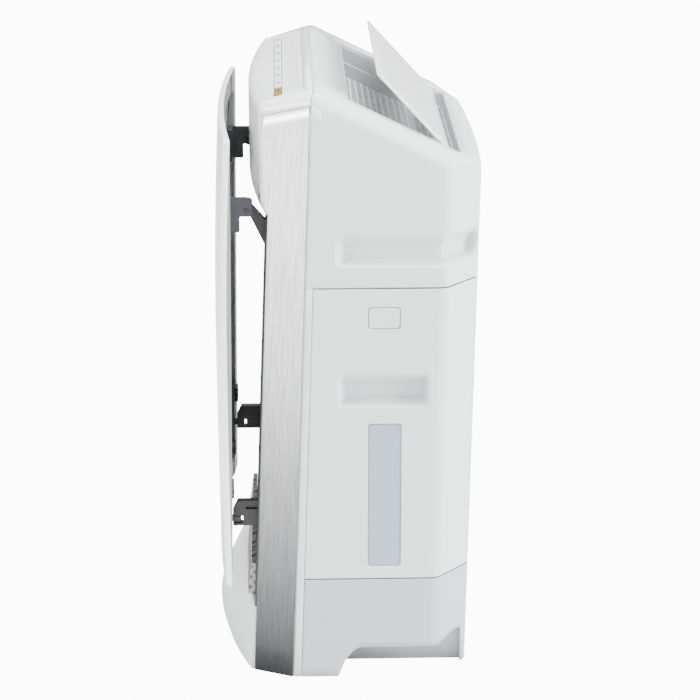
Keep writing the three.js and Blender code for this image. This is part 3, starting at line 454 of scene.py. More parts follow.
# Upright strip between trim and tank with its flange under the trim, the whole left wall below the
# grip, and the rear wall round the removable cover.
flange_s = np.array([SEAM_Y - 2.5, HOUSING_FRONT - 0.02, HOUSING_FRONT])
rows = np.linspace(0, 1, 12)[:, None]
flange = casing(np.broadcast_to(flange_s, (12, 3)), 1 + rows * (edge_height(flange_s) - 1),
                np.where(flange_s < HOUSING_FRONT - 0.01, 1.6, SEAM_SINK) + 0 * rows)
flange_edge = roof_edge(flange_s, flange[-1]) - np.outer([1.2, 1.2, 0.4], [0, 0, 1])
housing.add(flange, mirror=True).add(flange_edge, mirror=True)
jamb_s = np.array([-59.0, -50.0])
S, Z = np.meshgrid(jamb_s, np.array([100.0, 471.0]))
housing.add(casing(S, Z, 3.2 + 0 * Z))
ledge_y = np.array([rim[0, 1] - 4.0, rim[0, 1] + 1.0])
ledge_x = np.interp(ledge_y, rim[:, 1], rim[:, 0]) - 1.0
housing.add(np.stack([across * ledge_x, ledge_y + 0 * across, roof(ledge_y) - 1.4 + 0 * across], -1))
strip_s = lines((HOUSING_FRONT, HOUSING_FRONT + 1, 0.5), (-61, -58, 2), (STRIP_REAR - 1, STRIP_REAR, 0.5))
S, Z = np.meshgrid(strip_s, lines((1, TANK_SEAM, 40)))
housing.add(casing(S, Z, eased(S - HOUSING_FRONT, STRIP_REAR - S)))
left_s = np.unique(np.r_[strip_s, lines((-50, 90, 20), (90, 110, 1.5), (110, 138, 8), (138, 160, 1.2),
                                        (160, rear_s, 8)), cover_s])
S, Z = np.meshgrid(left_s, lines((BASE_SEAM, BASE_SEAM + 1, 0.5), (COVER["z0"], TANK_SEAM, 28)))
housing.add(casing(S, Z, eased(S - HOUSING_FRONT, Z - BASE_SEAM)) * (-1, 1, 1), keep=wall_keep(S, Z))
S, Z = np.meshgrid(strip_s, np.array([1.0, BASE_SEAM]))
housing.add(casing(S, Z, eased(S - HOUSING_FRONT)) * (-1, 1, 1))
rear_edge = plan_s[np.flatnonzero((plan[:, 0] < 156) & (plan_s > 100))[0]]
behind_s = np.r_[lines((rear_edge + GAP, rear_edge + 8, 1.5), (rear_edge + 8, rear_s, 8)), cover_s]
S, Z = np.meshgrid(np.unique(behind_s), lines((BASE_SEAM, COVER["z0"], 11), (COVER["z0"], TANK_SEAM, 28)))
housing.add(casing(S, Z, eased(Z - BASE_SEAM)), keep=wall_keep(S, Z))
housing.done("housing_shell", "cabinet", WHITE_ABS, "white_shell", replaces=["main_housing"], wall=SHELL)

# ---- rear cover ----
# Flat-bowed service cover let into the rear wall, same white ABS, lifted off by its edges.
first_s, low, high = cover_s + GAP, COVER["z0"] + GAP, COVER["z1"] - GAP
S, Z = np.meshgrid(np.r_[first_s, lines((first_s + 1, rear_s, 9))],
                   lines((low, low + 1, 0.5), (150, 545, 60), (high - 1, high, 0.5)))
cover = Patches(inside=(0, 0, 350)).add(casing(S, Z, eased(S - first_s, Z - low, high - Z)), mirror=True)
cover.done("rear_service_cover", "cabinet", WHITE_ABS, "white_shell", replaces=["rear_cover"], wall=SHELL)

# ---- water tank front ----
# The tank's outer wall is the lower right of the casing, down to the base: white ABS with a
# scooped pull handle, a level window and a finger latch, closed round the rear corner.
def box_inside(a, b, a0, a1, b0, b1, radius):
    """Distance inside a rounded rectangle in two coordinates: positive within, negative outside."""
    qa = np.abs(a - (a0 + a1) / 2) - (a1 - a0) / 2 + radius
    qb = np.abs(b - (b0 + b1) / 2) - (b1 - b0) / 2 + radius
    outside = np.hypot(np.maximum(qa, 0), np.maximum(qb, 0))
    return radius - outside - np.minimum(np.maximum(qa, qb), 0)


TANK = {"s0": -55.8, "z0": 124.7, "z1": 470.3}
HANDLE = {"y0": -14.0, "y1": 89.0, "z0": 332.0, "z1": 373.0, "depth": 19.0}
WINDOW = {"y0": 20.0, "y1": 58.0, "z0": 139.0, "z1": 313.0}
LATCH = {"y0": 20.0, "y1": 56.0, "z0": 424.0, "z1": 449.5}


def handle_depth(y, z):
    """Scoop of the pull handle: steep lower and end walls, its upper wall easing in over half its
    height."""
    return (HANDLE["depth"] * ramp((y - HANDLE["y0"]) / 9) * ramp((HANDLE["y1"] - y) / 5)
            * ramp((z - HANDLE["z0"]) / 5) * ramp((HANDLE["z1"] - z) / 19))


def tank_depth(s, z):
    """Depth below the casing of the tank wall: handle scoop, window and latch seats, eased edges."""
    y = s + z * lean(s)
    depth = handle_depth(y, z)
    for seat, radius, sunk in ((WINDOW, 4, 3.0), (LATCH, 4, 4.0)):
        inside = box_inside(y, z, seat["y0"], seat["y1"], seat["z0"], seat["z1"], radius)
        depth = depth + sunk * ramp(inside / 0.8)
    edge_gap = np.minimum(np.minimum(z - TANK["z0"], TANK["z1"] - z), s - TANK["s0"])
    return depth + eased(edge_gap)


tank_s = lines((TANK["s0"], TANK["s0"] + 1.5, 0.5), (-54, -32, 8), (-32, -14, 1), (-14, 8, 1),
               (8, 18, 0.5), (18, 44, 1.0), (44, 57, 0.5), (57, 90, 1.0), (90, 110, 1.5), (110, 140, 8),
               (140, rear_edge, 1.5))
tank_z = lines((TANK["z0"], TANK["z0"] + 1.5, 0.5), (127, 137, 3), (138, 145, 0.5), (145, 307, 12),
               (307, 315, 0.5), (322, 378, 1.0), (380, 420, 8), (422.5, 430, 0.5), (430, 444, 2),
               (444, 451, 0.5), (453, 468, 5), (TANK["z1"] - 1.5, TANK["z1"], 0.5))
S, Z = np.meshgrid(tank_s, tank_z)
tank = Patches(inside=(0, 20, 300)).add(casing(S, Z, tank_depth(S, Z)))
tank.done("tank_front", "tank", WHITE_ABS, "white_shell", replaces=["tank_cover"], wall=SHELL)


def rounded_loop(a0, a1, b0, b1, radius, steps=6):
    """Closed counter-clockwise rounded rectangle as an array of two coordinates."""
    angle = np.linspace(0, math.pi / 2, steps + 1)
    corners = ((a1 - radius, b0 + radius, -math.pi / 2), (a1 - radius, b1 - radius, 0),
               (a0 + radius, b1 - radius, math.pi / 2), (a0 + radius, b0 + radius, math.pi))
    return np.vstack([np.stack([a + radius * np.cos(angle + t), b + radius * np.sin(angle + t)], -1)
                      for a, b, t in corners])


def pad(loop, profile, place, fill=6):
    """Closed-top pad over a loop: rings drawn in by profile insets at profile heights, then
    shrunk to its middle line in fill steps; place turns (a, b, height) arrays into points."""
    ahead = np.roll(loop, -1, 0) - np.roll(loop, 1, 0)
    inward = np.stack([-ahead[:, 1], ahead[:, 0]], -1)
    inward /= np.linalg.norm(inward, axis=1)[:, None]
    rings = [np.column_stack([loop + inward * inset, np.full(len(loop), rise)]) for inset, rise in profile]
    last = rings[-1]
    low, high = last[:, :2].min(0), last[:, :2].max(0)
    middle, size = (low + high) / 2, (high - low) / 2
    reach = size - size.min()
    spine = np.clip(last[:, :2], middle - reach, middle + reach)
    for t in np.linspace(0, 1, fill + 1)[1:]:
        rings.append(np.column_stack([last[:, :2] * (1 - t) + spine * t, last[:, 2]]))
    return place(*np.moveaxis(np.array(rings), -1, 0))


def on_side(a, b, h):
    """Place on the flat tank side: a along y, b up, h outwards."""
    return np.stack([SIDE + h, a, b], -1)


def seat_loop(seat, gap, radius):
    """Outline of a piece let into a seat of the tank wall with a gap all round."""
    return rounded_loop(seat["y0"] + gap, seat["y1"] - gap, seat["z0"] + gap, seat["z1"] - gap, radius)


TINTED = plastic("tinted_window", (0.25, 0.31, 0.38), roughness=0.22, drift=0.05, smudge=0.1, grain=0.3,
                 coat=0.5)
Patches().add(pad(seat_loop(WINDOW, 0.8, 3.4), [(0, -3.0), (0, -1.5), (0.25, -1.1), (0.7, -0.95)], on_side),
              wrap=True).done("level_window", "tank", TINTED, "tinted_clear", replaces=["tank_window"])

latch_profile = [(0, -1.8), (0, -0.6), (0.2, -0.3), (0.5, -0.12), (1.0, -0.05), (1.6, -0.05)]
Patches().add(pad(seat_loop(LATCH, 1.1, 3.2), latch_profile, on_side), wrap=True).done(
    "finger_latch", "latch", WHITE_ABS, "white_shell", replaces=["latch_button"])

# ---- brushed side trims ----
# Anodised aluminium strips wrapped over both front corners, brushed lengthwise; the brushing wanders
# slightly, and a painted reflection of the darker ground darkens their base colour towards the foot.
COWL_FRONT, COWL_BOW, COWL_LOW = -110.5, 14.0, 545.0
cowl_plan = smooth_path([(SIDE, -20, 0), (SIDE, -42.2, 4), (TRIM_HALF, COWL_FRONT + COWL_BOW, 7)]
                        + [(x, COWL_FRONT + COWL_BOW * (x / TRIM_HALF) ** 2, 0)
                           for x in np.linspace(160, 0, 24)])


def cowl_y(x, z):
    """Front of the vertical cowl at x and height: its plan curve, drawn back round its lower lip."""
    back = np.interp(z, [COWL_LOW, 549, 553, 560, 567], [10, 6, 3.2, 0.9, 0])
    order = np.argsort(cowl_plan[:, 0])
    return np.interp(x, cowl_plan[order, 0], cowl_plan[order, 1]) + back


def casing_front_y(s, z):
    """Casing wall drawn out to the cowl wherever the cowl stands further forward."""
    x, y, _ = plan_at(s)
    y = y + z * lean(y)
    out = np.where(z > COWL_LOW, np.minimum(y, cowl_y(np.minimum(x, 196.9), z)), y)
    return np.where(x > 196.5, y, out)


BRUSH_LEAN, PAINTED_SHADE_HEIGHT = -0.037, 0.67  # tilt of the brushing, and height in metres the painted reflection ramp runs over


def brushed(name, color_low, color_high):
    """Brushed metal: hairlines along the height that wander, over a painted reflection in the base colour
    that darkens to the foot.
    """
    m = bpy.data.materials.new(name)
    m.use_nodes = True
    t = m.node_tree
    surface = t.nodes["Principled BSDF"]
    coords = t.nodes.new("ShaderNodeTexCoord").outputs["Object"]
    parts = t.nodes.new("ShaderNodeSeparateXYZ")
    t.links.new(coords, parts.inputs[0])
    wander = maths(t, "MULTIPLY_ADD", noise(t, coords, 22.0, 0.0), 0.006, parts.outputs["Y"])
    lean_back = maths(t, "MULTIPLY_ADD", parts.outputs["Z"], BRUSH_LEAN, wander)
    joined = t.nodes.new("ShaderNodeCombineXYZ")
    t.links.new(lean_back, joined.inputs["Y"])
    t.links.new(parts.outputs["X"], joined.inputs["X"])
    t.links.new(parts.outputs["Z"], joined.inputs["Z"])
    hair = noise(t, joined.outputs[0], 620.0, 1.0, (0.25, 1, 0.035))
    broad = noise(t, joined.outputs[0], 260.0, 2.0, (0.25, 1, 0.04))
    height = maths(t, "DIVIDE", parts.outputs["Z"], PAINTED_SHADE_HEIGHT)
    # painted reflection: the base colour ramps from color_low at the foot to color_high near the top,
    # standing in for the darker ground mirrored low down
    shade = t.nodes.new("ShaderNodeValToRGB")
    t.links.new(height, shade.inputs[0])
    shade.color_ramp.elements[0].position = 0.0
    shade.color_ramp.elements[0].color = (*color_low, 1)
    shade.color_ramp.elements[1].position = 0.85
    shade.color_ramp.elements[1].color = (*color_high, 1)
    for position, share in ((0.15, 0.10), (0.35, 0.30), (0.55, 0.62)):
        step = np.array(color_low) + share * (np.array(color_high) - color_low)
        shade.color_ramp.elements.new(position).color = (*step, 1)
    streak = maths(t, "MULTIPLY_ADD", maths(t, "SUBTRACT", hair, 0.5), 0.85, 1.0)
    streak = maths(t, "MULTIPLY_ADD", maths(t, "SUBTRACT", broad, 0.5), 0.3, streak)
    scaled = t.nodes.new("ShaderNodeVectorMath")
    scaled.operation = "SCALE"
    t.links.new(shade.outputs[0], scaled.inputs[0])
    t.links.new(streak, scaled.inputs["Scale"])
    t.links.new(scaled.outputs[0], surface.inputs["Base Color"])
    t.links.new(maths(t, "MULTIPLY_ADD", hair, 0.25, 0.28), surface.inputs["Roughness"])
    surface.inputs["Metallic"].default_value = 0.5
    rise = t.nodes.new("ShaderNodeBump")
    rise.inputs["Distance"].default_value = 0.00012
    t.links.new(hair, rise.inputs["Height"])
    t.links.new(rise.outputs["Normal"], surface.inputs["Normal"])
    return m


# the near-black foot and near-white top of this ramp are a painted reflection, not the aluminium's own tone
SILVER = brushed("brushed_aluminium", (0.02, 0.021, 0.028), (0.97, 0.975, 0.98))
front_s = plan_s[np.flatnonzero(plan[:, 0] >= 175.2)[0]]
trim_s = np.unique(np.r_[front_s, lines((front_s, front_s + 4, 0.5), (front_s + 4, -72, 6),
                                        (-72, SEAM_Y - GAP, 0.6))])
TRIM_TOP = {"rear": 674.3, "slope": 0.28, "rear_y": -42.5}
share = np.r_[np.linspace(0, 0.8, 9), np.linspace(0.81, 0.87, 14), np.linspace(0.89, 1, 6)][:, None]
top_y = casing_front_y(trim_s, np.full(len(trim_s), 668.0))
trim_top = TRIM_TOP["rear"] + (top_y - TRIM_TOP["rear_y"]) * TRIM_TOP["slope"]
Z = 1 + share * (trim_top - 1)
S = np.broadcast_to(trim_s, Z.shape)
X = plan_at(S)[0]
trim_wall = np.stack([X, casing_front_y(S, Z), Z], -1)
tucked = trim_wall[:, :1] + (-0.1, 2.2, 0)
for side, sign in (("right", 1), ("left", -1)):
    Patches(inside=(0, 20, 300)).add(np.concatenate([tucked, trim_wall], 1) * (sign, 1, 1)).done(
        f"brushed_trim_{side}", "cabinet", SILVER, "brushed_trim", replaces=[f"silver_trim_{side}"],
        wall=1.6, sharp=50)

# ---- top cowl ----
# White gloss cowl over the controls: one moulding with a bowed front, a rolled lower lip, slots
# for the panel's hinge ears, and a rim round the control surface.
GLOSS_ABS = plastic("gloss_abs", (0.76, 0.78, 0.775), roughness=0.16, drift=0.02, smudge=0.06,
                    grain=0.25, coat=0.25)
TRIM_X, EAR_IN, EAR_OUT, EAR_TOP = 174.4, 151.0, 170.5, 572  # reach of the trim; slots of the hinge ears
seam_index = np.flatnonzero(cowl_plan[:, 1] <= -42.9)[0]
cx = np.unique(np.round(np.r_[cowl_plan[seam_index:, 0], EAR_IN, EAR_OUT, TRIM_X + 0.1], 3))[::-1]
cy = cowl_y(cx, 600.0)
over_trim = TRIM_TOP["rear"] + 0.9 + (cy - TRIM_TOP["rear_y"]) * TRIM_TOP["slope"]
cowl_low = np.where(cx > TRIM_X, over_trim, COWL_LOW)
along = np.gradient(np.stack([cx, cy], -1), axis=0)
cowl_n = np.stack([-along[:, 1], along[:, 0]], -1)
cowl_n /= np.linalg.norm(cowl_n, axis=1)[:, None]
sideways = ramp((cx - 166) / 26)
cowl_turn = np.maximum(roof(cy) - (7.5 + 8.3 * sideways), cowl_low + 0.4)
cowl_drop = roof(cy) - cowl_turn
cowl_inset = 8 + 5 * sideways
levels = np.r_[0, 0.02, 0.05, 0.09, 0.13, 0.18, 0.215, 0.22, 0.3, 0.5, 0.75, 1][:, None]
Z = cowl_low + levels * (cowl_turn - cowl_low)
X = np.broadcast_to(cx, Z.shape)
front_face = np.stack([X, np.where(X > TRIM_X, cy, cowl_y(X, Z)), Z], -1)
lip = front_face[:1] + np.stack([0 * cx, np.where(cx > TRIM_X, 1.5, 16), 0 * cx], -1)
wall = np.concatenate([lip, front_face])
inset = cowl_inset * (1 - np.cos(EDGE_STEPS) ** EDGE_POWER)
edge_y = cy - cowl_n[:, 1] * inset
edge_z = roof(edge_y) - cowl_drop * (1 - np.sin(EDGE_STEPS) ** EDGE_POWER)
cowl_edge = np.stack([cx - cowl_n[:, 0] * inset, edge_y, edge_z], -1)
middle_x = (X[:-1, :-1] + X[1:, 1:]) / 2
in_slot = (middle_x > EAR_IN) & (middle_x < EAR_OUT)
keep = ~np.vstack([in_slot[:1], in_slot & (Z[1:, :-1] < EAR_TOP)])


def closed_path(corners):
    """Closed loop through corners [x, y, setback], each rounded in six steps."""
    steps = 6
    first, last = (steps + 1 if corners[k][2] else 1 for k in (0, -1))
    return smooth_path(corners[-1:] + corners + corners[:1], steps)[last:-first]


def radial(loop, centre, angles):
    """Points where rays from a centre at given angles cross a star-shaped closed loop."""
    rel = loop - centre
    turn = np.unwrap(np.arctan2(rel[:, 1], rel[:, 0]))
    if turn[-1] < turn[0]:
        rel, turn = rel[::-1], turn[::-1]
    start = np.argmin(np.mod(turn, 2 * math.pi))
    rel, turn = np.roll(rel, -start, 0), np.mod(np.roll(turn, -start), 2 * math.pi)
    rel = np.vstack([rel[-1:], rel, rel[:1]])
    turn = np.r_[turn[-1] - 2 * math.pi, turn, turn[0] + 2 * math.pi]
    i = np.clip(np.searchsorted(turn, angles, side="right") - 1, 0, len(turn) - 2)
    a, step = rel[i], rel[i + 1] - rel[i]
    ray = np.stack([np.cos(angles), np.sin(angles)], -1)
    t = (a[:, 0] * step[:, 1] - a[:, 1] * step[:, 0]) / (ray[:, 0] * step[:, 1] - ray[:, 1] * step[:, 0])
    return centre + ray * t[:, None]


def between(outer, inner, centre):
    """Ring of roof surface between two star-shaped loops."""
    angles = np.unique(np.round(np.mod(np.concatenate(
        [np.arctan2(*(loop - centre).T[::-1]) for loop in (outer, inner)]), 2 * math.pi), 7))
    flat = np.stack([radial(outer, centre, angles), radial(inner, centre, angles)])
    return on_roof(flat[..., 0], flat[..., 1])


def on_roof(a, b, h=0.0):
    """Place on the roof slope: a across, b back, h up."""
    return np.stack([a, b, roof(b) + h], -1)


CONTROL = {"half": 150, "rear_half": 166, "front": -92, "bow": 8, "shoulder": -87, "rear": -49}


def control_loop(shrink):
    """Outline of the control surface drawn in: bowed front edge, straight back, clipped front corners."""
    w, r, rear = CONTROL["half"] - shrink, CONTROL["rear_half"] - shrink, CONTROL["rear"] - shrink
    front = [(x, CONTROL["front"] + shrink - CONTROL["bow"] * (1 - (x / w) ** 2), 0)
             for x in np.linspace(-w, w, 24)]
    return closed_path(front + [(r, CONTROL["shoulder"], 6), (r, rear, 3),
                                (-r, rear, 3), (-r, CONTROL["shoulder"], 6)])


rim = cowl_edge[-1]
rim_loop = np.vstack([rim[:, :2], rim[::-1, :2] * (-1, 1)])
seat = control_loop(0.0)
cowl = Patches(inside=(0, -30, 560))
cowl.add(wall, keep=keep, mirror=True).add(cowl_edge, mirror=True)
cowl.add(between(rim_loop, seat, np.array([0.0, -70.0])), wrap=True)
cowl.add(np.stack([on_roof(*seat.T), on_roof(*seat.T, -2.5)]), wrap=True, towards=(0, -70, 680))
cowl.done("cowl", "cabinet", GLOSS_ABS, "white_gloss", replaces=["top_cowl"], wall=2.0)

# ---- control surface and keys ----
# Gloss fascia let into the cowl, with a row of rocker caps in one slot and printed symbols; the
# power cap at the tank end is gold.
slot_loop = rounded_loop(-158.5, 162.7, -81.2, -71.8, 1.6)
plate = Patches(inside=(0, -70, 640))
face_loop, side_loop = control_loop(0.45), control_loop(0.3)
plate.add(between(face_loop, slot_loop, np.array([2.0, -76.5])), wrap=True)
plate.add(np.stack([on_roof(*side_loop.T, -2.4), on_roof(*side_loop.T, -0.2), on_roof(*face_loop.T)]),
          wrap=True)
plate.add(np.stack([on_roof(*slot_loop.T), on_roof(*slot_loop.T, -2.2)]), wrap=True, towards=(2, -76.5, 679))
plate.done("control_fascia", "cabinet", GLOSS_ABS, "white_gloss", replaces=["control_plate"])

GOLD = plastic("gold_cap", (0.22, 0.125, 0.0), roughness=0.3, drift=0.06, smudge=0.08, grain=0.4, coat=0.3)
INK = plastic("grey_print", (0.012, 0.012, 0.014), roughness=0.5, drift=0.05, grain=0.2)
KEYS, FIRST_KEY, KEY_PITCH, KEY_HALF = 8, 143, 40, 18.6
for i in range(KEYS):
    middle_x = FIRST_KEY - KEY_PITCH * i
    cap = rounded_loop(middle_x - KEY_HALF, middle_x + KEY_HALF, -80.6, -72.5, 1.4, 4)
    Patches().add(pad(cap, [(0, -2.5), (0, 0.25), (0.25, 0.55), (0.8, 0.7)], on_roof, 3), wrap=True).done(
        f"key_cap_{i + 1}", f"key_{i + 1}_body", GOLD if i == 0 else GLOSS_ABS,
        "gold_key" if i == 0 else "white_gloss", replaces=[f"key_{i + 1}"])
    signs = Patches()
    for x0, x1, y0, y1 in ((-5, -1, -77.2, -75.0), (1, 5, -77.2, -75.0), (-5, 3, -79.2, -78.5)):
        sign = rounded_loop(middle_x + x0, middle_x + x1, y0, y1, 0.3, 2)
        signs.add(pad(sign, [(0, 0.72), (0, 0.76)], on_roof, 1), wrap=True)
    signs.done(f"key_print_{i + 1}", f"key_{i + 1}_body", INK, "dark_frame")

PRINT_WIDTH = 270
PRINT_ROWS = ((-65, 20, -138, 3.4, 1.7), (-60, 20, -138, 7.0, 0.8), (-55, 14, -130, 3.6, 1.4))
prints = Patches()
for row_y, step, first, wide, tall in PRINT_ROWS:
    for j in range(int(PRINT_WIDTH / step)):
        if (j * 7 + int(-row_y)) % 4 == 0:
            continue
        x = first + j * step
        mark = rounded_loop(x - wide / 2, x + wide / 2, row_y - tall / 2, row_y + tall / 2, 0.3, 2)
        prints.add(pad(mark, [(0, 0.02), (0, 0.05)], on_roof, 1), wrap=True)
prints.done("control_print", "cabinet", INK, "dark_frame")

# ---- front panel ----
# Large gloss white panel, bowed across and rolled back at its top edge, with a shallow return all
# round; carried on four brackets and driven out from the body.
PANEL = {"half": 190.0, "low": 111.5, "high": 637.0, "front": -152.5, "bow": 9.5}


def panel_y(x, z):
    """Front of the panel: parabola across, and parabolas drawn back to the top and the foot."""
    middle_z = (PANEL["low"] + PANEL["high"]) / 2
    t = (z - middle_z) / (PANEL["high"] - middle_z)
    return PANEL["front"] + PANEL["bow"] * (x / PANEL["half"]) ** 2 + np.where(t > 0, 7.0, 2.0) * t * t


def on_panel(a, b, h):
    """Place on the panel's front: a across, b up, h forwards; the foot's return is cut short over the
    intake."""
    h = np.where((b < PANEL["low"] + 2) & (np.abs(a) < 150), np.maximum(h, -2.0), h)
    return np.stack([a, panel_y(a, b) - h, b], -1)


PANEL_GLOSS = plastic("panel_gloss", (0.90, 0.915, 0.92), roughness=0.12, drift=0.015, smudge=0.05,
                      grain=0.1, coat=0.5)
panel_loop = rounded_loop(-PANEL["half"], PANEL["half"], PANEL["low"], PANEL["high"], 5, 6)
panel_loop = np.vstack([np.linspace(a, b, 24 if np.hypot(*(b - a)) > 20 else 1, endpoint=False)
                        for a, b in zip(panel_loop, np.roll(panel_loop, -1, 0))])
panel_profile = [(0.6, -7.0), (0, -6.6), (0, -3.4), (0.3, -1.9), (0.9, -0.9), (1.9, -0.3), (3.4, 0)]
Patches().add(pad(panel_loop, panel_profile, on_panel, 28), wrap=True).done(
    "front_panel_shell", "panel", PANEL_GLOSS, "white_gloss", replaces=["front_panel"], wall=SHELL)

# ---- outlet flap ----
# Thin white flap that closes the outlet in the roof, hinged near its rear edge and held open.
HINGE_Y, FLAP_LENGTH, FLAP_TAIL, FLAP_RISE = 103.0, 108.0, 8.0, 2.1
HINGE_Z = float(roof(HINGE_Y)) - 3
OPEN = math.atan(TOP_SLOPE) + math.radians(21.4)


def on_flap(a, b, h):
    """Place on the opened flap: a across, b back from the hinge, h out of its face, turned by OPEN."""
    y, z = b, h + FLAP_RISE
    return np.stack([a, HINGE_Y + y * math.cos(OPEN) + z * math.sin(OPEN),
                     HINGE_Z - y * math.sin(OPEN) + z * math.cos(OPEN)], -1)


flap_loop = rounded_loop(-149.9, 149.9, -FLAP_LENGTH, FLAP_TAIL, 2.5, 5)
flap = Patches()
flap_top = [(0, 0), (0, 0.9), (0.2, 1.25), (0.7, 1.45)]
flap.add(pad(flap_loop, flap_top, on_flap, 4), wrap=True)
flap.add(pad(flap_loop, [(i, -h) for i, h in flap_top], on_flap, 4), wrap=True)
flap.done("flap", "flap", GLOSS_ABS, "white_gloss", replaces=["outlet_flap"])

# ---- chin ----
# White lower front cover, swelling forward in a rounded nose under the panel and dying away to
# the trims at both sides.
chin_profile = smooth_path([(-100, 1, 0), (-146, 1, 0), (-152, 16, 8), (-152, 34, 9), (-140, 57, 9),
                            (-125, 74, 5), (-119, 80, 0), (-100, 80, 0)], 8)
x = np.linspace(-174.6, 174.6, 61)[:, None]
y, z = chin_profile.T
least = -113 + z / 80 * 4
swell = np.maximum(1 - (x / TRIM_HALF) ** 2, 0.02)
chin_y = least + np.minimum(0, y - least) * swell + np.maximum(0, y - least)
chin_front = np.stack([np.broadcast_to(x, chin_y.shape), chin_y, np.broadcast_to(z, chin_y.shape)], -1)
chin_end = np.stack([chin_front[-1], np.column_stack([chin_front[-1][:, 0], np.full(len(z), -100.5), z])])
chin = Patches(inside=(0, -110, 40)).add(chin_front).add(chin_end, mirror=True)
chin.done("chin_nose", "cabinet", WHITE_ABS, "white_shell", replaces=["chin_cover"], wall=2.0)

# ---- base ----
# White base under tank and housing, a shade deeper, with a hand notch moulded into each side and a
# foot left standing at the rear corner.
BASE_ABS = plastic("base_abs", (0.38, 0.405, 0.43), roughness=0.36)
NOTCH_REAR, NOTCH_IN, BASE_TOP = 131, 153.0, 123.3
notch = smooth_path([(-13, 1, 0), (-5, 22, 5), (8, 38, 8), (104, 38, 8), (118, 46, 6),
                     (NOTCH_REAR, 46, 5), (NOTCH_REAR, 1, 0)], 6)
side_plan = plan[plan_s > -60][:-len(rear_x)]
notch_x = np.interp(notch[:, 0], side_plan[:, 1], side_plan[:, 0])
base_s = lines((TANK["s0"], TANK["s0"] + 1, 0.5), (-50, -16, 8), (-15, 10, 1), (20, 90, 10),
               (90, 126, 1.5), (126, 140, 2), (140, 156, 1.5), (160, rear_s, 8))
base_y = plan_at(base_s)[1] + 1.0
low = np.where(base_y < NOTCH_REAR, np.interp(base_y, notch[:-1, 0], notch[:-1, 1]), 1)
rows = np.r_[0, np.linspace(0.1, 0.97, 6), 0.99, 1][:, None]
S = np.broadcast_to(base_s, (len(rows), len(base_s)))
Z = low + rows * (BASE_TOP - low)
base = Patches(inside=(0, 20, 60))
S_lip, Z_lip = np.meshgrid(np.r_[jamb_s[0], base_s], np.array([118.0, 134.0]))
base.add(casing(S_lip, Z_lip, 2.8 + 0 * Z_lip), mirror=True)
S_side, Z_side = np.meshgrid(jamb_s, np.array([1.0, 118.0]))
base.add(casing(S_side, Z_side, 2.4 + 0 * Z_side), mirror=True)
base.add(casing(S, Z, eased(S - TANK["s0"], BASE_TOP - Z)), mirror=True)
ceiling = np.stack([np.stack([x, notch[:, 0], notch[:, 1]], -1)
                    for x in (notch_x - 0.4, np.full(len(notch), NOTCH_IN))])
base.add(ceiling, mirror=True, towards=(175, 60, 5))
back = np.stack([np.column_stack([np.full(len(notch), NOTCH_IN), notch]),
                 np.column_stack([np.full(len(notch), NOTCH_IN), notch[:, 0], np.full(len(notch), 1.0)])])
base.add(back, mirror=True, towards=(220, 60, 20))
floor_ring = casing(base_s, np.full(len(base_s), 4.0), 4.0)
beside_notch = (floor_ring[:, 1] > -16) & (floor_ring[:, 1] < 134)
floor_ring[:, 0] = np.where(beside_notch, np.minimum(floor_ring[:, 0], NOTCH_IN - 1), floor_ring[:, 0])
base.add(np.stack([floor_ring, floor_ring * (0, 1, 1)]), mirror=True, towards=(0, 0, -400))
front_floor = np.array([[[x, y, 4] for y in (-104, -50)] for x in (-170, 170)])
base.add(front_floor, towards=(0, 0, -400))
base.done("base_shell", "cabinet", BASE_ABS, "white_shell", replaces=["base"], wall=1.8)

# ---- outlet duct and grille ----
# Grey duct sunk in the roof with a step halfway down, and a guard of close bars at its bottom that
# keeps fingers off the fan.
DUCT_ABS = plastic("duct_abs", (0.50, 0.52, 0.535), roughness=0.45, drift=0.08, grain=0.8)
mouth = rounded_loop(-OUTLET["x"], OUTLET["x"], OUTLET["y0"], OUTLET["y1"], 1.2, 4)
lip = Patches()
lip.add(pad(mouth, [(0, 0), (0.1, -0.4), (0.15, -3.4)], on_roof, 1)[:3], wrap=True, towards=(0, 61, 640))
lip.done("outlet_lip", "cabinet", WHITE_ABS, "white_shell")
duct = Patches()
duct.add(pad(mouth, [(0.2, -3.4), (1.4, -3.6), (1.5, -20.5), (3.2, -21.3), (3.4, -44)], on_roof, 1)[:5],
         wrap=True, towards=(0, 61, 640))
duct.done("duct", "cabinet", DUCT_ABS, "duct_grey", replaces=["outlet_duct"])


def bars(low_corners, high_corners, place):
    """Boxes between arrays of low and high corners (a, b, h), placed on a surface."""
    low_corners, high_corners = np.asarray(low_corners, float), np.asarray(high_corners, float)
    pick = np.array([[i >> 2 & 1, i >> 1 & 1, i & 1] for i in range(8)])
    corners = low_corners[:, None] * (1 - pick) + high_corners[:, None] * pick
    quads = np.array([(0, 1, 3, 2), (4, 6, 7, 5), (0, 4, 5, 1), (2, 3, 7, 6), (0, 2, 6, 4), (1, 5, 7, 3)])
    faces = (quads[None] + 8 * np.arange(len(corners))[:, None, None]).reshape(-1, 4)
    return place(*np.moveaxis(corners.reshape(-1, 3), -1, 0)), faces.tolist()


BAR = 1.8
bar_y = np.linspace(1.4, 120.9, 17)
cross_x = np.linspace(-148.6, 148.6, 23)
along = np.column_stack([np.full(len(bar_y), -149.5), bar_y - BAR / 2, np.full(len(bar_y), -44)])
over = np.column_stack([cross_x - BAR / 2, np.full(len(cross_x), 0.2), np.full(len(cross_x), -43.5)])
bar_low = np.vstack([along, over])
bar_high = np.vstack([along + (299, BAR, 6.5), over + (BAR, 121.5, 6.4)])
GUARD_ABS = plastic("guard_abs", (0.72, 0.74, 0.75), roughness=0.4, drift=0.06, grain=0.8)
add_mesh("outlet_guard", *bars(bar_low, bar_high, on_roof), "cabinet", GUARD_ABS, "duct_grey",
         replaces=["outlet_grille"])

# ---- carried-over pieces ----
# Frames, arms, filters and workings keep their CAD shapes and take moulded, woven or metal looks.
STRAND_RATE = 480.0  # radians of the strand wave per metre


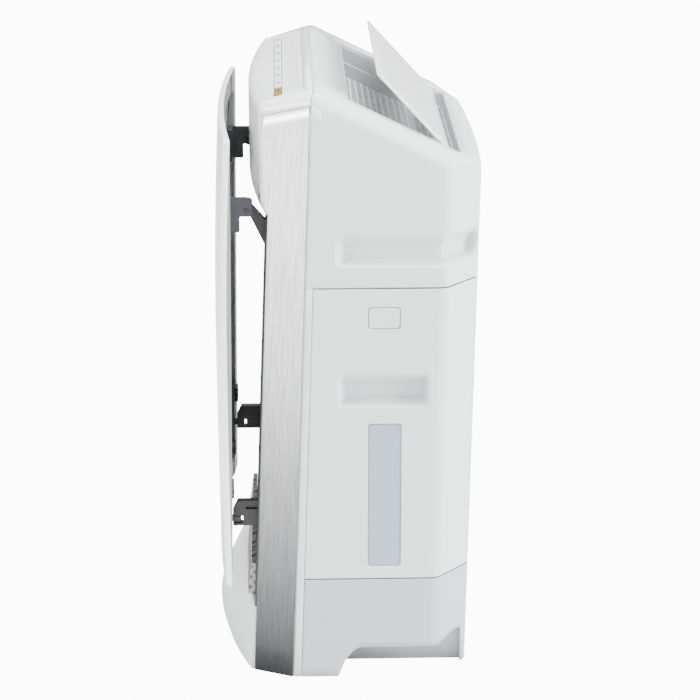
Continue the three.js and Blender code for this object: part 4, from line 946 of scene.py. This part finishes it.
def woven(name, dark, light):
    """Flattened metal mesh: two sets of diagonal strands, each a sine band over object coordinates."""
    m = plastic(name, dark, roughness=0.4, drift=0.2, grain=0.8)
    t = m.node_tree
    axes = t.nodes.new("ShaderNodeSeparateXYZ")
    t.links.new(t.nodes.new("ShaderNodeTexCoord").outputs["Object"], axes.inputs[0])
    flat = maths(t, "ADD", axes.outputs["X"], axes.outputs["Y"])
    strands = []
    for lean_by in (1.0, -0.6):
        phase = maths(t, "MULTIPLY_ADD", flat, lean_by, axes.outputs["Z"])
        strands.append(maths(t, "SINE", maths(t, "MULTIPLY", phase, STRAND_RATE)))
    height = maths(t, "MAXIMUM", *strands)
    metal = t.nodes["Principled BSDF"]
    t.links.new(mixed(t, maths(t, "MULTIPLY_ADD", height, 0.5, 0.35), dark, light),
                metal.inputs["Base Color"])
    metal.inputs["Metallic"].default_value = 0.5
    return m


FRAME_ABS = plastic("frame_abs", (0.26, 0.265, 0.27), roughness=0.45, drift=0.12, grain=1.0)
LOOKS = {
    "dark_frame": plastic("dark_abs", (0.018, 0.019, 0.024), roughness=0.45, drift=0.15, grain=1.0),
    "grey_plastic": plastic("grey_abs", (0.032, 0.034, 0.042), roughness=0.42, drift=0.12, grain=0.8),
    "black_plastic": plastic("black_abs", (0.012, 0.012, 0.014), roughness=0.4, drift=0.2, grain=0.8),
    "duct_grey": DUCT_ABS,
    "white_shell": WHITE_ABS, "white_gloss": GLOSS_ABS, "tinted_clear": TINTED, "gold_key": GOLD,
    # steel takes the same painted reflection ramp, a little darker towards its foot
    "steel": brushed("steel", (0.30, 0.30, 0.31), (0.40, 0.40, 0.41)), "brushed_trim": SILVER,
    "mesh_brown": woven("woven_mesh", (0.11, 0.10, 0.088), (0.46, 0.44, 0.41)),
    "circuit_board": plastic("solder_mask", (0.02, 0.10, 0.04), roughness=0.3, drift=0.3, size=900.0),
    "filter_paper": plastic("filter_paper", (0.72, 0.70, 0.62), roughness=0.9, drift=0.1, grain=3.0,
                            size=1200.0),
    "foot_rubber": plastic("foot_rubber", (0.015, 0.015, 0.016), roughness=0.8, drift=0.3, grain=2.0,
                           size=1500.0),
}
SPECIAL = {"panel_frame": FRAME_ABS,
           "hinge_pin_right": LOOKS["dark_frame"], "hinge_pin_left": LOOKS["dark_frame"]}
slots = {p["node"]: p["material_slot"] for p in frame["record"]["subparts"]}
for node, obj in frame["nodes"].items():
    obj.data.materials.clear()
    obj.data.materials.append(SPECIAL.get(node, LOOKS[slots[node]]))
